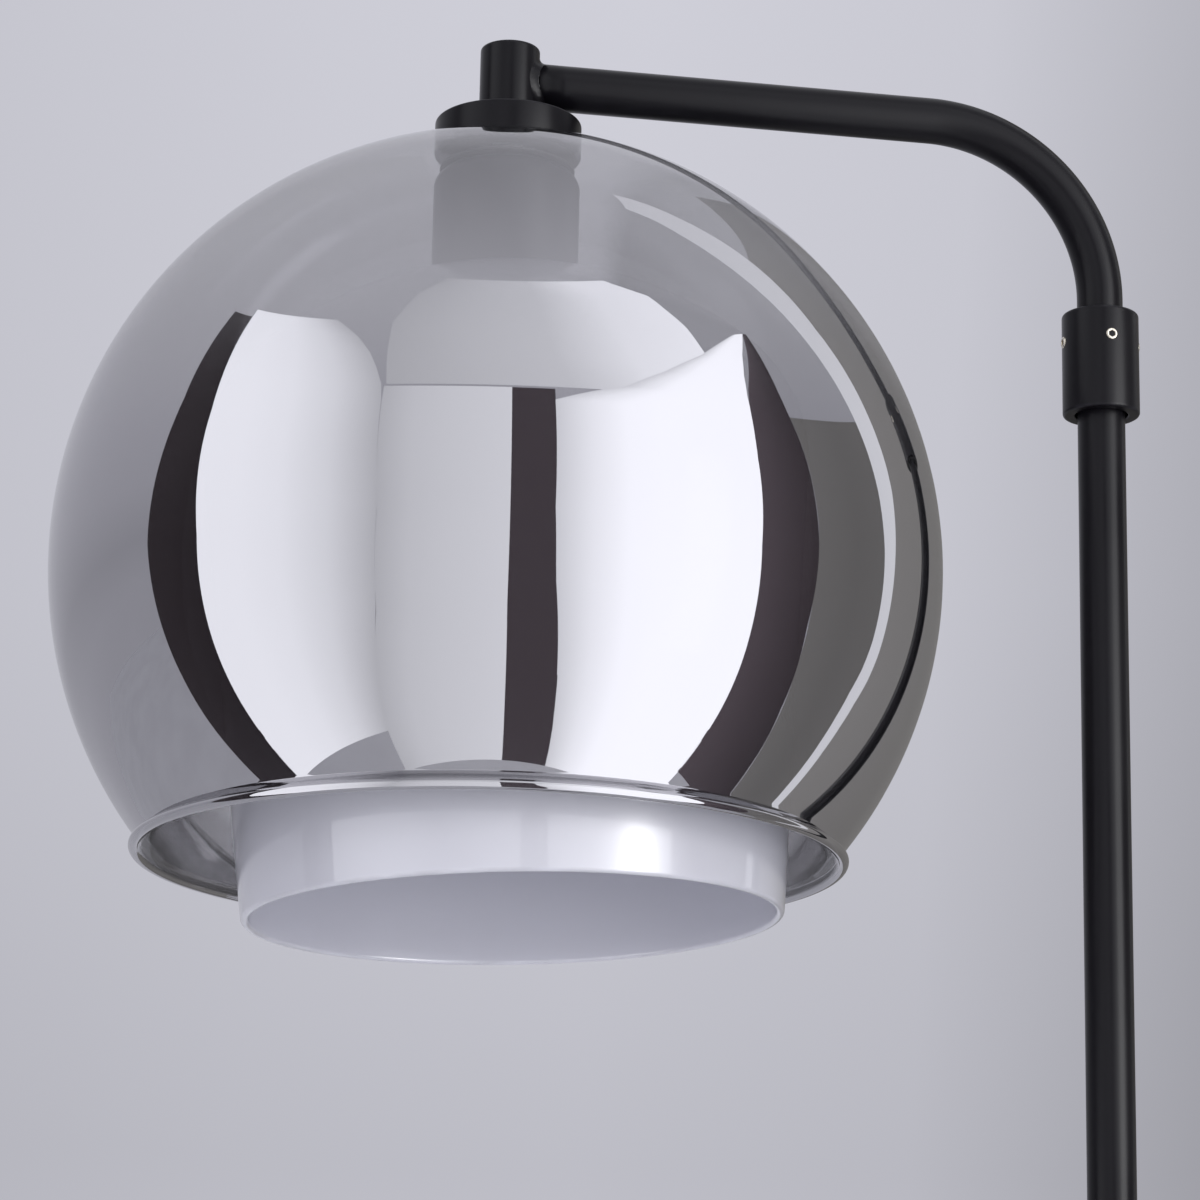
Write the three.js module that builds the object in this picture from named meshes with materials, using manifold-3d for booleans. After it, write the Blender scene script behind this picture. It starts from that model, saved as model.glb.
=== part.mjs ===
// Arc floor lamp: weighted round base, three-part pole, bent arm that swivels in a
// collar, and a double glass shade hung from a turned hub.
// Millimetres, +Z up. The origin is on the floor, on the pole's axis. The arm runs
// towards -X.
import * as THREE from 'three';
import { mergeVertices } from 'three/addons/utils/BufferGeometryUtils.js';
import Module from 'manifold-3d';

const wasm = await Module();
wasm.setup();

// Overall sizes
const ARM_HEIGHT = 1538; // floor to the arm's axis
const ARM_REACH = 205; // pole axis to shade axis
const BEND_RADIUS = 60; // centreline of the arm's bend
const SEAT_GAP = 0.3; // clearance between pieces that rest on each other
const SMOOTH = 32; // facets round a wide turned piece
const PLAIN = 16; // facets round a narrow turned piece
const EDGE_STEPS = 4; // steps round a small rounded edge
const OVERRUN = 1; // how far a cutting solid runs past the face it cuts
const MERGE_TOLERANCE = 1e-4; // corners closer than this are one corner

// Base
const BASE_RADIUS = 150;
const BASE_HEIGHT = 21;
const BASE_EDGE_RADIUS = 5;
const COVER_WALL = 1.2;
const COVER_LIFT = 1.2; // the cover's rim above the floor
const PAD_THICKNESS = 2.5;
const PAD_INSET = 4;
const WEIGHT_HEADROOM = 0.7; // cast weight to the underside of the cover
const WEIGHT_CLEARANCE = 1; // cast weight to the inside of the cover's wall
const WEIGHT_CHAMFER = 5;
const NUT_WELL_RADIUS = 14;
const NUT_WELL_DEPTH = 8;
const CABLE_BORE_RADIUS = 4; // channel through the cast weight
const GROMMET_BORE_RADIUS = 3;
const GROMMET_FLANGE = 1.4;
const GROMMET_MARGIN = 2; // above and below the grommet inside the cover

// Threaded parts on the lamp's cable way
const STUD_RADIUS = 5;
const STUD_BORE_RADIUS = 3.4;
const STUD_LIFT = 1; // stud's foot above the weight's underside
const STUD_REACH = 18; // stud inside the pole's foot insert
const NIPPLE_ENGAGEMENT = 7.5; // nipple inside the lampholder
const NUT_FLATS = 16;
const NUT_THICKNESS = 4.5;
const WASHER_RADIUS = 10.5;
const WASHER_THICKNESS = 1.2;
const THREAD_CLEARANCE = 0.25;

// Pole
const POLE_RADIUS = 8;
const POLE_WALL = 1.2;
const POLE_SECTIONS = 3;
const FOOT_WALL = 5.7;
const FOOT_HEIGHT = 9;
const INSERT_LENGTH = 30; // threaded insert at each joint of the pole

// Collar and its grub screws
const COLLAR_WALL = 4.7;
const COLLAR_HEIGHT = 35.6;
const COLLAR_POLE_DEPTH = 16; // pole end inside the collar
const COLLAR_CLEARANCE = 0.3;
const COLLAR_EDGE = 0.8;
const SCREW_COUNT = 4;
const SCREW_RADIUS = 2;
const SCREW_DROP = 10.4; // collar top to the screws' axis
const SCREW_PROUD = 0.4;
const SCREW_SOCKET_FLATS = 2;
const SCREW_SOCKET_DEPTH = 2.4;

// Arm
const ARM_RADIUS = 7.75;
const ARM_WALL = 1.2;
const ARM_TAIL = 5.7; // straight tube between the bend and the collar
const ARM_STEPS = 26;
const ARM_CURVE_SEGMENTS = 8;

// Hub that the arm is welded to
const HUB_RADIUS = 10;
const HUB_ABOVE = 12.4; // hub top above the arm's axis
const HUB_BELOW = 14.7; // hub foot below the arm's axis
const HUB_TOP_WALL = 2.5;
const HUB_EDGE = 0.9;

// Cap, gaskets and outer globe
const CAP_RADIUS = 24.5;
const CAP_HEIGHT = 11.5;
const CAP_WALL = 1.6;
const CAP_EDGE = 0.6;
const GASKET_THICKNESS = 1.5;
const GASKET_INSET = 2; // cap's edge to the gasket's edge
const GASKET_INNER_RADIUS = 16.5;
const GLOBE_RADIUS = 144.5;
const GLOBE_NECK_MARGIN = 0.5; // flat seat of the globe beyond the cap
const GLOBE_MOUTH_DEPTH = 92.8; // widest level to the start of the lip
const GLOBE_WALL = 2.8;
const GLOBE_HOLE_RADIUS = 17;
const GLOBE_UPPER_STEPS = 9;
const GLOBE_LOWER_STEPS = 5;
const LIP_HEIGHT = 3.6;
const LIP_FLARE = 3.8;

// Lampholder cup
const CUP_CLEARANCE = 0.5; // round the lampholder's flange
const CUP_HEIGHT = 38.6;
const CUP_WALL = 1.2;
const CUP_SHOULDER = 6;

// Opal inner shade
const OPAL_GLOBE_GAP = 45.5; // from the shade's waist, where shoulder and drum meet
const OPAL_TAPER = 12.6; // the mouth's radius below the waist's
const OPAL_HEIGHT = 212.5;
const OPAL_CROWN_RADIUS = 130;
const OPAL_SHOULDER_RADIUS = 45;
const OPAL_WALL = 2.6;
const OPAL_CROWN_STEPS = 3;
const OPAL_SHOULDER_STEPS = 5;
const OPAL_HOLE_CLEARANCE = 0.7; // hole round the lampholder
const OPAL_NECK_MARGIN = 1.7; // flat neck beyond the cup
const OPAL_HANG_ANGLE = 2.2; // degrees; the loose seat lets the shade hang towards the pole

// Lampholder
const HOLDER_WALL = 4.5;
const HOLDER_TOP_RADIUS = 14;
const HOLDER_FLANGE_WIDTH = 3.2;
const HOLDER_FLANGE_THICKNESS = 2.4;
const HOLDER_SKIRT = 25; // opal neck to the holder's lower edge
const HOLDER_BORE_DEPTH = 40;
const HOLDER_FLOOR = 2; // thermoset above the centre contact
const SHELL_WALL = 0.6;
const SHELL_CLEARANCE = 0.7; // round the bulb's cap
const SHELL_LENGTH = 36;
const SHELL_LIFT = 1; // shell's edge above the holder's edge
const CONTACT_RADIUS = 4;
const CONTACT_THICKNESS = 1.6;
const RING_HEIGHT = 7;
const RING_FLANGE = 2;

// Bulb, standard 27 mm screw cap
const BULB_CAP_RADIUS = 13.3;
const BULB_CAP_LENGTH = 26;
const BULB_CONTACT_HEIGHT = 1.6;
const BULB_RADIUS = 30;
const BULB_LENGTH = 108;
const BULB_HOUSING_LENGTH = 36;
const BULB_WALL = 1.2;
const BULB_NECK = 9; // straight stretch that stays inside the holder
const BULB_CONE_HEIGHT = 3; // insulator between the cap and its contact
const BULB_CONE_MARGIN = 2;
const BULB_BRIM_INSET = 2;
const BULB_BOWL_STEPS = 6;
const HOUSING_SHOULDER_INSET = 4;
const HOUSING_SHOULDER_HEIGHT = 8;
const HOUSING_NECK_FLARE = 3;

// Radii worked out from the sizes above
const footRadius = POLE_RADIUS + COLLAR_CLEARANCE + FOOT_WALL;
const collarRadius = POLE_RADIUS + COLLAR_CLEARANCE + COLLAR_WALL;
const gasketRadius = CAP_RADIUS - GASKET_INSET;
const holderBore = BULB_CAP_RADIUS + SHELL_CLEARANCE + SHELL_WALL + SEAT_GAP;
const holderRadius = holderBore + HOLDER_WALL;
const holderFlange = holderRadius + HOLDER_FLANGE_WIDTH;
const cupRadius = holderFlange + CUP_CLEARANCE + CUP_WALL;
const opalNeck = cupRadius + OPAL_NECK_MARGIN;
const opalWaist = GLOBE_RADIUS - OPAL_GLOBE_GAP;
const opalMouth = opalWaist - OPAL_TAPER;

// Levels worked out from the sizes above
const capTop = ARM_HEIGHT - HUB_BELOW;
const capBottom = capTop - CAP_HEIGHT;
const globeTop = capBottom - GASKET_THICKNESS;
const globeNeck = CAP_RADIUS + GLOBE_NECK_MARGIN;
const globeMiddle = globeTop - Math.sqrt(GLOBE_RADIUS ** 2 - globeNeck ** 2);
const globeUnder = globeMiddle + Math.sqrt((GLOBE_RADIUS - GLOBE_WALL) ** 2 - globeNeck ** 2);
const cupTop = globeUnder - GASKET_THICKNESS;
const cupFloor = cupTop - CUP_WALL;
const opalPlay = opalNeck * Math.sin(THREE.MathUtils.degToRad(OPAL_HANG_ANGLE));
const opalTop = cupTop - CUP_HEIGHT - SEAT_GAP - opalPlay;
const flangeLow = opalTop + SEAT_GAP + opalPlay;
const opalCrownCentre = opalTop - Math.sqrt(OPAL_CROWN_RADIUS ** 2 - opalNeck ** 2);
const opalInnerCrown = OPAL_CROWN_RADIUS - OPAL_WALL;
const opalUnder = opalCrownCentre + Math.sqrt(opalInnerCrown ** 2 - opalNeck ** 2);
const washerUnder = cupFloor - SEAT_GAP - WASHER_THICKNESS;
const nutUnder = washerUnder - SEAT_GAP - NUT_THICKNESS;
const holderTop = nutUnder - SEAT_GAP;
const holderBottom = opalTop - HOLDER_SKIRT;
const boreTop = holderBottom + HOLDER_BORE_DEPTH;
const bulbTop = boreTop - CONTACT_THICKNESS - 2 * SEAT_GAP;
const bulbBottom = bulbTop - BULB_LENGTH;
const collarTop = ARM_HEIGHT - BEND_RADIUS - ARM_TAIL;
const collarBottom = collarTop - COLLAR_HEIGHT;
const poleTop = collarBottom + COLLAR_POLE_DEPTH;
const poleBottom = BASE_HEIGHT + SEAT_GAP;
const poleSection = (poleTop - poleBottom) / POLE_SECTIONS;
const weightBottom = PAD_THICKNESS + SEAT_GAP;
const coverUnder = BASE_HEIGHT - COVER_WALL;
const weightTop = coverUnder - WEIGHT_HEADROOM;

// Materials, each made once for the pieces that share a finish
const finish = (color, roughness, metalness) => () =>
  new THREE.MeshStandardMaterial({ color, roughness, metalness });
const satinBlack = finish(0x1d1c20, 0.42, 0.3);
const castIron = finish(0x3a3a3c, 0.75, 0.6);
const felt = finish(0x202020, 0.95, 0);
const rubber = finish(0x151515, 0.8, 0);
const zincSteel = finish(0xb4b6ba, 0.35, 1);
const nickel = finish(0xc9c4b8, 0.25, 1);
const brass = finish(0xb8944a, 0.35, 1);
const holderPlastic = finish(0x18181a, 0.5, 0);
const smokedGlass = finish(0x6f6d70, 0.03, 0.6);
const opalGlass = finish(0xf4f3f6, 0.12, 0);
const bulbPlastic = finish(0xf0f0ee, 0.4, 0);

const lamp = new THREE.Group();

// Solid with shared corners, for joining and cutting
function solid(geometry) {
  geometry.deleteAttribute('normal');
  geometry.deleteAttribute('uv');
  const merged = mergeVertices(geometry, MERGE_TOLERANCE);
  const vertProperties = new Float32Array(merged.attributes.position.array);
  const triVerts = new Uint32Array(merged.index.array);
  return new wasm.Manifold(new wasm.Mesh({ numProp: 3, vertProperties, triVerts }));
}

// Surface of a solid, ready for a mesh
function surface(body) {
  const mesh = body.getMesh();
  const corners = new Float32Array(mesh.numVert * 3);
  for (let i = 0; i < mesh.numVert; i += 1) {
    for (let k = 0; k < 3; k += 1) {
      corners[3 * i + k] = mesh.vertProperties[mesh.numProp * i + k];
    }
  }
  const geometry = new THREE.BufferGeometry();
  geometry.setAttribute('position', new THREE.BufferAttribute(corners, 3));
  geometry.setIndex(new THREE.BufferAttribute(new Uint32Array(mesh.triVerts), 1));
  geometry.computeVertexNormals();
  return geometry;
}

// Turned solid: a closed outline of [radius, height] points carried round the Z axis
function turned(outline, facets = PLAIN) {
  const points = outline.map(([radius, height]) => new THREE.Vector2(radius, height));
  if (THREE.ShapeUtils.isClockWise(points)) points.reverse();
  points.push(points[0].clone());
  const geometry = new THREE.LatheGeometry(points, facets);
  geometry.rotateX(Math.PI / 2);
  return solid(geometry);
}

// Plain sleeve between two levels; an inner radius of 0 gives a disc
function sleeve(outer, inner, low, high, facets = PLAIN) {
  return turned([[inner, low], [outer, low], [outer, high], [inner, high]], facets);
}

// Sleeve with its outer top and bottom corners broken by a chamfer
function chamferedSleeve(outer, inner, low, high, chamfer, facets = PLAIN) {
  return turned([
    [inner, low],
    [outer - chamfer, low],
    [outer, low + chamfer],
    [outer, high - chamfer],
    [outer - chamfer, high],
    [inner, high],
  ], facets);
}

// Hexagonal prism on the Z axis
function hexagon(flats, low, high) {
  const corner = flats / Math.sqrt(3);
  const geometry = new THREE.CylinderGeometry(corner, corner, high - low, 6);
  geometry.rotateX(Math.PI / 2);
  geometry.translate(0, 0, (low + high) / 2);
  return solid(geometry);
}

// Points on an arc round a centre, from one angle to another, as [radius, height]
function arcPoints(centre, radius, from, to, count) {
  return Array.from({ length: count + 1 }, (_, i) => {
    const angle = from + ((to - from) * i) / count;
    return [centre[0] + radius * Math.cos(angle), centre[1] + radius * Math.sin(angle)];
  });
}

// Adds one named piece, turned about the vertical line at x
function addPiece(name, body, material, x = 0) {
  const mesh = new THREE.Mesh(surface(body), material());
  mesh.name = name;
  mesh.position.x = x;
  lamp.add(mesh);
}

function addHeadPiece(name, body, material) {
  addPiece(name, body, material, -ARM_REACH);
}

// Cylinder along X between two distances from the Z axis, at a level
function crossBar(radius, from, to, level) {
  const geometry = new THREE.CylinderGeometry(radius, radius, to - from, PLAIN);
  geometry.rotateZ(Math.PI / 2);
  geometry.translate((from + to) / 2, 0, level);
  return solid(geometry);
}

function nut(low) {
  const high = low + NUT_THICKNESS;
  const bore = sleeve(STUD_RADIUS + THREAD_CLEARANCE, 0, low - OVERRUN, high + OVERRUN);
  return hexagon(NUT_FLATS, low, high).subtract(bore);
}

function washer(low) {
  return sleeve(WASHER_RADIUS, STUD_RADIUS + THREAD_CLEARANCE, low, low + WASHER_THICKNESS);
}

// ---- Base ----
const wellTop = weightBottom + NUT_WELL_DEPTH;
const grommetFlangeRadius = (coverUnder - weightBottom) / 2 - GROMMET_MARGIN;
const grommetRadius = grommetFlangeRadius - GROMMET_FLANGE;
const cableLevel = weightBottom + GROMMET_MARGIN + grommetFlangeRadius;
// The cover's wall falls back by this much at the edge of the grommet's inner flange
const coverBow = grommetFlangeRadius * Math.tan(Math.PI / SMOOTH);
const grommetSeat = BASE_RADIUS - COVER_WALL - coverBow - SEAT_GAP;

function basePad() {
  return sleeve(BASE_RADIUS - PAD_INSET, 0, 0, PAD_THICKNESS, SMOOTH);
}

function baseWeight() {
  const radius = BASE_RADIUS - COVER_WALL - WEIGHT_CLEARANCE;
  const block = turned([
    [STUD_RADIUS + THREAD_CLEARANCE, weightBottom],
    [radius, weightBottom],
    [radius, weightTop - WEIGHT_CHAMFER],
    [radius - WEIGHT_CHAMFER, weightTop],
    [STUD_RADIUS + THREAD_CLEARANCE, weightTop],
  ], SMOOTH);
  const well = sleeve(NUT_WELL_RADIUS, 0, weightBottom - OVERRUN, wellTop);
  const channel = crossBar(CABLE_BORE_RADIUS, 0, BASE_RADIUS, cableLevel);
  const pocketFloor = grommetSeat - GROMMET_FLANGE - SEAT_GAP;
  const pocket = crossBar(grommetFlangeRadius + SEAT_GAP, pocketFloor, BASE_RADIUS, cableLevel);
  return block.subtract(well).subtract(channel).subtract(pocket);
}

// Outline of the cover's outside, from its rim over the rounded edge to its hole
function coverOutline(offset, hole) {
  const edge = BASE_EDGE_RADIUS - offset;
  const centre = [BASE_RADIUS - BASE_EDGE_RADIUS, BASE_HEIGHT - BASE_EDGE_RADIUS];
  const bend = arcPoints(centre, edge, 0, Math.PI / 2, EDGE_STEPS);
  return [[BASE_RADIUS - offset, COVER_LIFT], ...bend, [hole, BASE_HEIGHT - offset]];
}

function baseCover() {
  const hole = STUD_RADIUS + THREAD_CLEARANCE;
  const inside = coverOutline(COVER_WALL, hole).reverse();
  const shell = turned([...coverOutline(0, hole), ...inside], SMOOTH);
  const opening = crossBar(
    grommetRadius + THREAD_CLEARANCE,
    grommetSeat,
    BASE_RADIUS + OVERRUN,
    cableLevel,
  );
  return shell.subtract(opening);
}

// Rubber grommet through the cover's back, open for the supply cable
function cordGrommet() {
  const inner = grommetSeat - GROMMET_FLANGE;
  const outer = BASE_RADIUS + GROMMET_FLANGE;
  const neck = crossBar(grommetRadius, inner, outer, cableLevel);
  const backFlange = crossBar(grommetFlangeRadius, inner, grommetSeat, cableLevel);
  const frontFlange = crossBar(
    grommetRadius + GROMMET_FLANGE / 2,
    BASE_RADIUS + SEAT_GAP,
    outer,
    cableLevel,
  );
  const bore = crossBar(GROMMET_BORE_RADIUS, inner - OVERRUN, outer + OVERRUN, cableLevel);
  return neck.add(backFlange).add(frontFlange).subtract(bore);
}

function baseStud() {
  const low = weightBottom + STUD_LIFT;
  return sleeve(STUD_RADIUS, STUD_BORE_RADIUS, low, poleBottom + STUD_REACH);
}

function poleFoot() {
  const bore = POLE_RADIUS + COLLAR_CLEARANCE;
  const low = BASE_HEIGHT + SEAT_GAP;
  return chamferedSleeve(footRadius, bore, low, low + FOOT_HEIGHT, COLLAR_EDGE, SMOOTH);
}

addPiece('base_pad', basePad(), felt);
addPiece('base_weight', baseWeight(), castIron);
addPiece('base_cover', baseCover(), satinBlack);
addPiece('cord_grommet', cordGrommet(), rubber);
addPiece('base_stud', baseStud(), zincSteel);
addPiece('base_washer', washer(wellTop - SEAT_GAP - WASHER_THICKNESS), zincSteel);
addPiece(
  'base_nut',
  nut(wellTop - 2 * SEAT_GAP - WASHER_THICKNESS - NUT_THICKNESS),
  zincSteel,
);
addPiece('pole_foot', poleFoot(), satinBlack);

// ---- Pole ----
const poleBore = POLE_RADIUS - POLE_WALL;

// Pole section number i, counted up from the base
function poleTube(i) {
  const low = poleBottom + i * poleSection + (i > 0 ? SEAT_GAP : 0);
  const high = poleBottom + (i + 1) * poleSection;
  return sleeve(POLE_RADIUS, poleBore, low, high);
}

// Threaded insert that joins section i to the one below it
function poleInsert(i) {
  const outer = poleBore - COLLAR_CLEARANCE;
  const joint = poleBottom + i * poleSection;
  const low = i === 0 ? joint : joint - INSERT_LENGTH / 2;
  const bore = i === 0 ? STUD_RADIUS + THREAD_CLEARANCE : STUD_BORE_RADIUS;
  return sleeve(outer, bore, low, low + INSERT_LENGTH);
}

['lower', 'middle', 'upper'].forEach((place, i) => {
  addPiece(`pole_${place}`, poleTube(i), satinBlack);
});
['pole_foot_insert', 'pole_insert_lower', 'pole_insert_upper'].forEach((name, i) => {
  addPiece(name, poleInsert(i), zincSteel);
});

// ---- Collar ----
const screwLevel = collarTop - SCREW_DROP;

// Grub screw along +X, its hexagon socket facing out
function grubScrew() {
  const tip = ARM_RADIUS + SEAT_GAP;
  const head = collarRadius + SCREW_PROUD;
  const body = sleeve(SCREW_RADIUS, 0, tip, head, PLAIN);
  return body.subtract(hexagon(SCREW_SOCKET_FLATS, head - SCREW_SOCKET_DEPTH, head + OVERRUN));
}

function collar() {
  const armBore = ARM_RADIUS + COLLAR_CLEARANCE;
  const poleHole = POLE_RADIUS + COLLAR_CLEARANCE;
  const step = poleTop + SEAT_GAP;
  const sides = turned([
    [poleHole, collarBottom],
    [collarRadius - COLLAR_EDGE, collarBottom],
    [collarRadius, collarBottom + COLLAR_EDGE],
    [collarRadius, collarTop - COLLAR_EDGE],
    [collarRadius - COLLAR_EDGE, collarTop],
    [armBore, collarTop],
    [armBore, step],
    [poleHole, step],
  ], SMOOTH);
  let body = sides;
  const bore = SCREW_RADIUS + THREAD_CLEARANCE / 2;
  for (let i = 0; i < SCREW_COUNT; i += 1) {
    const hole = crossBar(bore, 0, collarRadius + OVERRUN, screwLevel);
    body = body.subtract(hole.rotate([0, 0, (i * 360) / SCREW_COUNT]));
  }
  return body;
}

addPiece('arm_collar', collar(), satinBlack);
for (let i = 0; i < SCREW_COUNT; i += 1) {
  const mesh = new THREE.Mesh(surface(grubScrew()), nickel());
  mesh.name = `grub_screw_${i + 1}`;
  mesh.rotation.y = Math.PI / 2;
  const turn = new THREE.Group();
  turn.rotation.z = (i * 2 * Math.PI) / SCREW_COUNT;
  turn.position.z = screwLevel;
  turn.add(mesh);
  lamp.add(turn);
}

// ---- Arm and hub ----
// Centreline of the arm: out of the hub, along, round the bend and down into the collar
function armPath() {
  const start = -ARM_REACH + HUB_RADIUS - HUB_EDGE;
  const path = new THREE.CurvePath();
  const bendStart = new THREE.Vector3(-BEND_RADIUS, 0, ARM_HEIGHT);
  const bendEnd = new THREE.Vector3(0, 0, ARM_HEIGHT - BEND_RADIUS);
  const end = new THREE.Vector3(0, 0, poleTop + SEAT_GAP);
  path.add(new THREE.LineCurve3(new THREE.Vector3(start, 0, ARM_HEIGHT), bendStart));
  path.add(new ArmBend());
  path.add(new THREE.LineCurve3(bendEnd, end));
  return path;
}

// Quarter circle in the XZ plane
class ArmBend extends THREE.Curve {
  getPoint(t, target = new THREE.Vector3()) {
    const angle = (t * Math.PI) / 2;
    return target.set(
      -BEND_RADIUS + BEND_RADIUS * Math.sin(angle),
      0,
      ARM_HEIGHT - BEND_RADIUS + BEND_RADIUS * Math.cos(angle),
    );
  }
}

function armTube() {
  const section = new THREE.Shape();
  section.absarc(0, 0, ARM_RADIUS, 0, 2 * Math.PI, false);
  const bore = new THREE.Path();
  bore.absarc(0, 0, ARM_RADIUS - ARM_WALL, 0, 2 * Math.PI, true);
  section.holes.push(bore);
  const geometry = new THREE.ExtrudeGeometry(section, {
    steps: ARM_STEPS,
    extrudePath: armPath(),
    curveSegments: ARM_CURVE_SEGMENTS,
  });
  return solid(geometry).subtract(hubEnvelope());
}

// Space that the hub takes up, with its clearance, in the pole's frame
function hubEnvelope() {
  const low = capTop - OVERRUN;
  const high = ARM_HEIGHT + HUB_ABOVE + OVERRUN;
  return sleeve(HUB_RADIUS + SEAT_GAP, 0, low, high, SMOOTH).translate([-ARM_REACH, 0, 0]);
}

function hub() {
  const top = ARM_HEIGHT + HUB_ABOVE;
  const bore = STUD_RADIUS + THREAD_CLEARANCE;
  const body = turned([
    [bore, capTop + SEAT_GAP],
    [HUB_RADIUS, capTop + SEAT_GAP],
    [HUB_RADIUS, top - HUB_EDGE],
    [HUB_RADIUS - HUB_EDGE, top],
    [0, top],
    [0, top - HUB_TOP_WALL],
    [bore, top - HUB_TOP_WALL],
  ], SMOOTH);
  const cableWay = crossBar(ARM_RADIUS - ARM_WALL, 0, HUB_RADIUS + OVERRUN, ARM_HEIGHT);
  return body.subtract(cableWay);
}

addPiece('arm_tube', armTube(), satinBlack);
addHeadPiece('head_hub', hub(), satinBlack);

// ---- Cap, gaskets and outer globe ----
// Hollow threaded rod that everything on the head hangs from
function nipple() {
  const high = ARM_HEIGHT - (ARM_RADIUS - ARM_WALL) - SEAT_GAP;
  return sleeve(STUD_RADIUS, STUD_BORE_RADIUS, holderTop - NIPPLE_ENGAGEMENT, high);
}

function shadeCap() {
  const bore = STUD_RADIUS + THREAD_CLEARANCE;
  return turned([
    [bore, capTop - CAP_WALL],
    [bore, capTop],
    [CAP_RADIUS - CAP_EDGE, capTop],
    [CAP_RADIUS, capTop - CAP_EDGE],
    [CAP_RADIUS, capBottom],
    [GASKET_INNER_RADIUS, capBottom],
    [GASKET_INNER_RADIUS, capTop - CAP_WALL],
  ], SMOOTH);
}

function gasket(high) {
  const low = high - GASKET_THICKNESS + SEAT_GAP;
  return sleeve(gasketRadius, GASKET_INNER_RADIUS, low, high - SEAT_GAP);
}

// The globe's wall at an offset inwards: flat round the hole, then a sphere down to the lip
function globeWall(offset) {
  const radius = GLOBE_RADIUS - offset;
  const neckAngle = Math.acos(globeNeck / radius);
  const mouthAngle = -Math.asin(GLOBE_MOUTH_DEPTH / radius);
  const upper = arcPoints([0, globeMiddle], radius, neckAngle, 0, GLOBE_UPPER_STEPS);
  const lower = arcPoints([0, globeMiddle], radius, 0, mouthAngle, GLOBE_LOWER_STEPS);
  return [[GLOBE_HOLE_RADIUS, upper[0][1]], ...upper, ...lower.slice(1)];
}

function outerShade() {
  const outside = globeWall(0);
  const inside = globeWall(GLOBE_WALL);
  const outerFoot = outside[outside.length - 1];
  const innerFoot = inside[inside.length - 1];
  const lip = [
    [outerFoot[0] + LIP_FLARE, outerFoot[1] - LIP_HEIGHT / 2],
    [outerFoot[0] + LIP_FLARE / 2, outerFoot[1] - LIP_HEIGHT],
    [innerFoot[0] + LIP_FLARE / 2, innerFoot[1] - LIP_HEIGHT],
  ];
  return turned([...outside, ...lip, ...inside.reverse()], SMOOTH);
}

addHeadPiece('threaded_nipple', nipple(), zincSteel);
addHeadPiece('shade_cap', shadeCap(), satinBlack);
addHeadPiece('upper_gasket', gasket(capBottom), rubber);
addHeadPiece('outer_shade', outerShade(), smokedGlass);
addHeadPiece('lower_gasket', gasket(globeUnder), rubber);

// ---- Lampholder cup ----
function cupOutline(offset, hole) {
  const radius = cupRadius - offset;
  const shoulder = CUP_SHOULDER - offset;
  const centre = [radius - shoulder, cupTop - offset - shoulder];
  const bend = arcPoints(centre, shoulder, 0, Math.PI / 2, EDGE_STEPS);
  return [[radius, cupTop - CUP_HEIGHT], ...bend, [hole, cupTop - offset]];
}

function lampholderCup() {
  const hole = STUD_RADIUS + THREAD_CLEARANCE;
  const inside = cupOutline(CUP_WALL, hole).reverse();
  return turned([...cupOutline(0, hole), ...inside], SMOOTH);
}

addHeadPiece('lampholder_cup', lampholderCup(), satinBlack);
addHeadPiece('cup_washer', washer(washerUnder), zincSteel);
addHeadPiece('cup_nut', nut(nutUnder), zincSteel);

// ---- Lampholder ----
function lampholderBody() {
  const flangeTop = flangeLow + HOLDER_FLANGE_THICKNESS;
  return turned([
    [STUD_RADIUS + THREAD_CLEARANCE, boreTop + HOLDER_FLOOR],
    [STUD_RADIUS + THREAD_CLEARANCE, holderTop],
    [HOLDER_TOP_RADIUS, holderTop],
    [holderRadius, holderTop - holderRadius + HOLDER_TOP_RADIUS],
    [holderRadius, flangeTop],
    [holderFlange, flangeTop],
    [holderFlange, flangeLow],
    [holderRadius, flangeLow],
    [holderRadius, holderBottom],
    [holderBore, holderBottom],
    [holderBore, boreTop],
    [CONTACT_RADIUS / 2, boreTop],
    [CONTACT_RADIUS / 2, boreTop + HOLDER_FLOOR],
  ]);
}

function holderContact() {
  return sleeve(CONTACT_RADIUS, 0, boreTop - SEAT_GAP - CONTACT_THICKNESS, boreTop - SEAT_GAP);
}

function screwShell() {
  const outer = holderBore - SEAT_GAP;
  const low = holderBottom + SHELL_LIFT;
  return sleeve(outer, outer - SHELL_WALL, low, low + SHELL_LENGTH);
}

function shadeRing() {
  const inner = holderRadius + THREAD_CLEARANCE;
  const high = opalUnder - SEAT_GAP - opalPlay;
  return turned([
    [inner, high - RING_HEIGHT],
    [inner + RING_FLANGE, high - RING_HEIGHT],
    [inner + RING_FLANGE, high - RING_FLANGE],
    [opalNeck, high - RING_FLANGE],
    [opalNeck, high],
    [inner, high],
  ]);
}

// The opal shade's wall at an offset inwards: flat neck, crown, tangent shoulder and drum
function opalWall(offset) {
  const crown = OPAL_CROWN_RADIUS - offset;
  const shoulderReach = opalWaist - OPAL_SHOULDER_RADIUS;
  const centreGap = OPAL_CROWN_RADIUS - OPAL_SHOULDER_RADIUS;
  const meet = Math.acos(shoulderReach / centreGap);
  const shoulderCentre = [shoulderReach, opalCrownCentre + centreGap * Math.sin(meet)];
  const hole = holderRadius + OPAL_HOLE_CLEARANCE;
  const neck = Math.acos(opalNeck / crown);
  const shoulder = OPAL_SHOULDER_RADIUS - offset;
  const crownArc = arcPoints([0, opalCrownCentre], crown, neck, meet, OPAL_CROWN_STEPS);
  const shoulderArc = arcPoints(shoulderCentre, shoulder, meet, 0, OPAL_SHOULDER_STEPS);
  const mouth = [opalMouth - offset, opalTop - OPAL_HEIGHT];
  return [[hole, crownArc[0][1]], ...crownArc, ...shoulderArc.slice(1), mouth];
}

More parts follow.
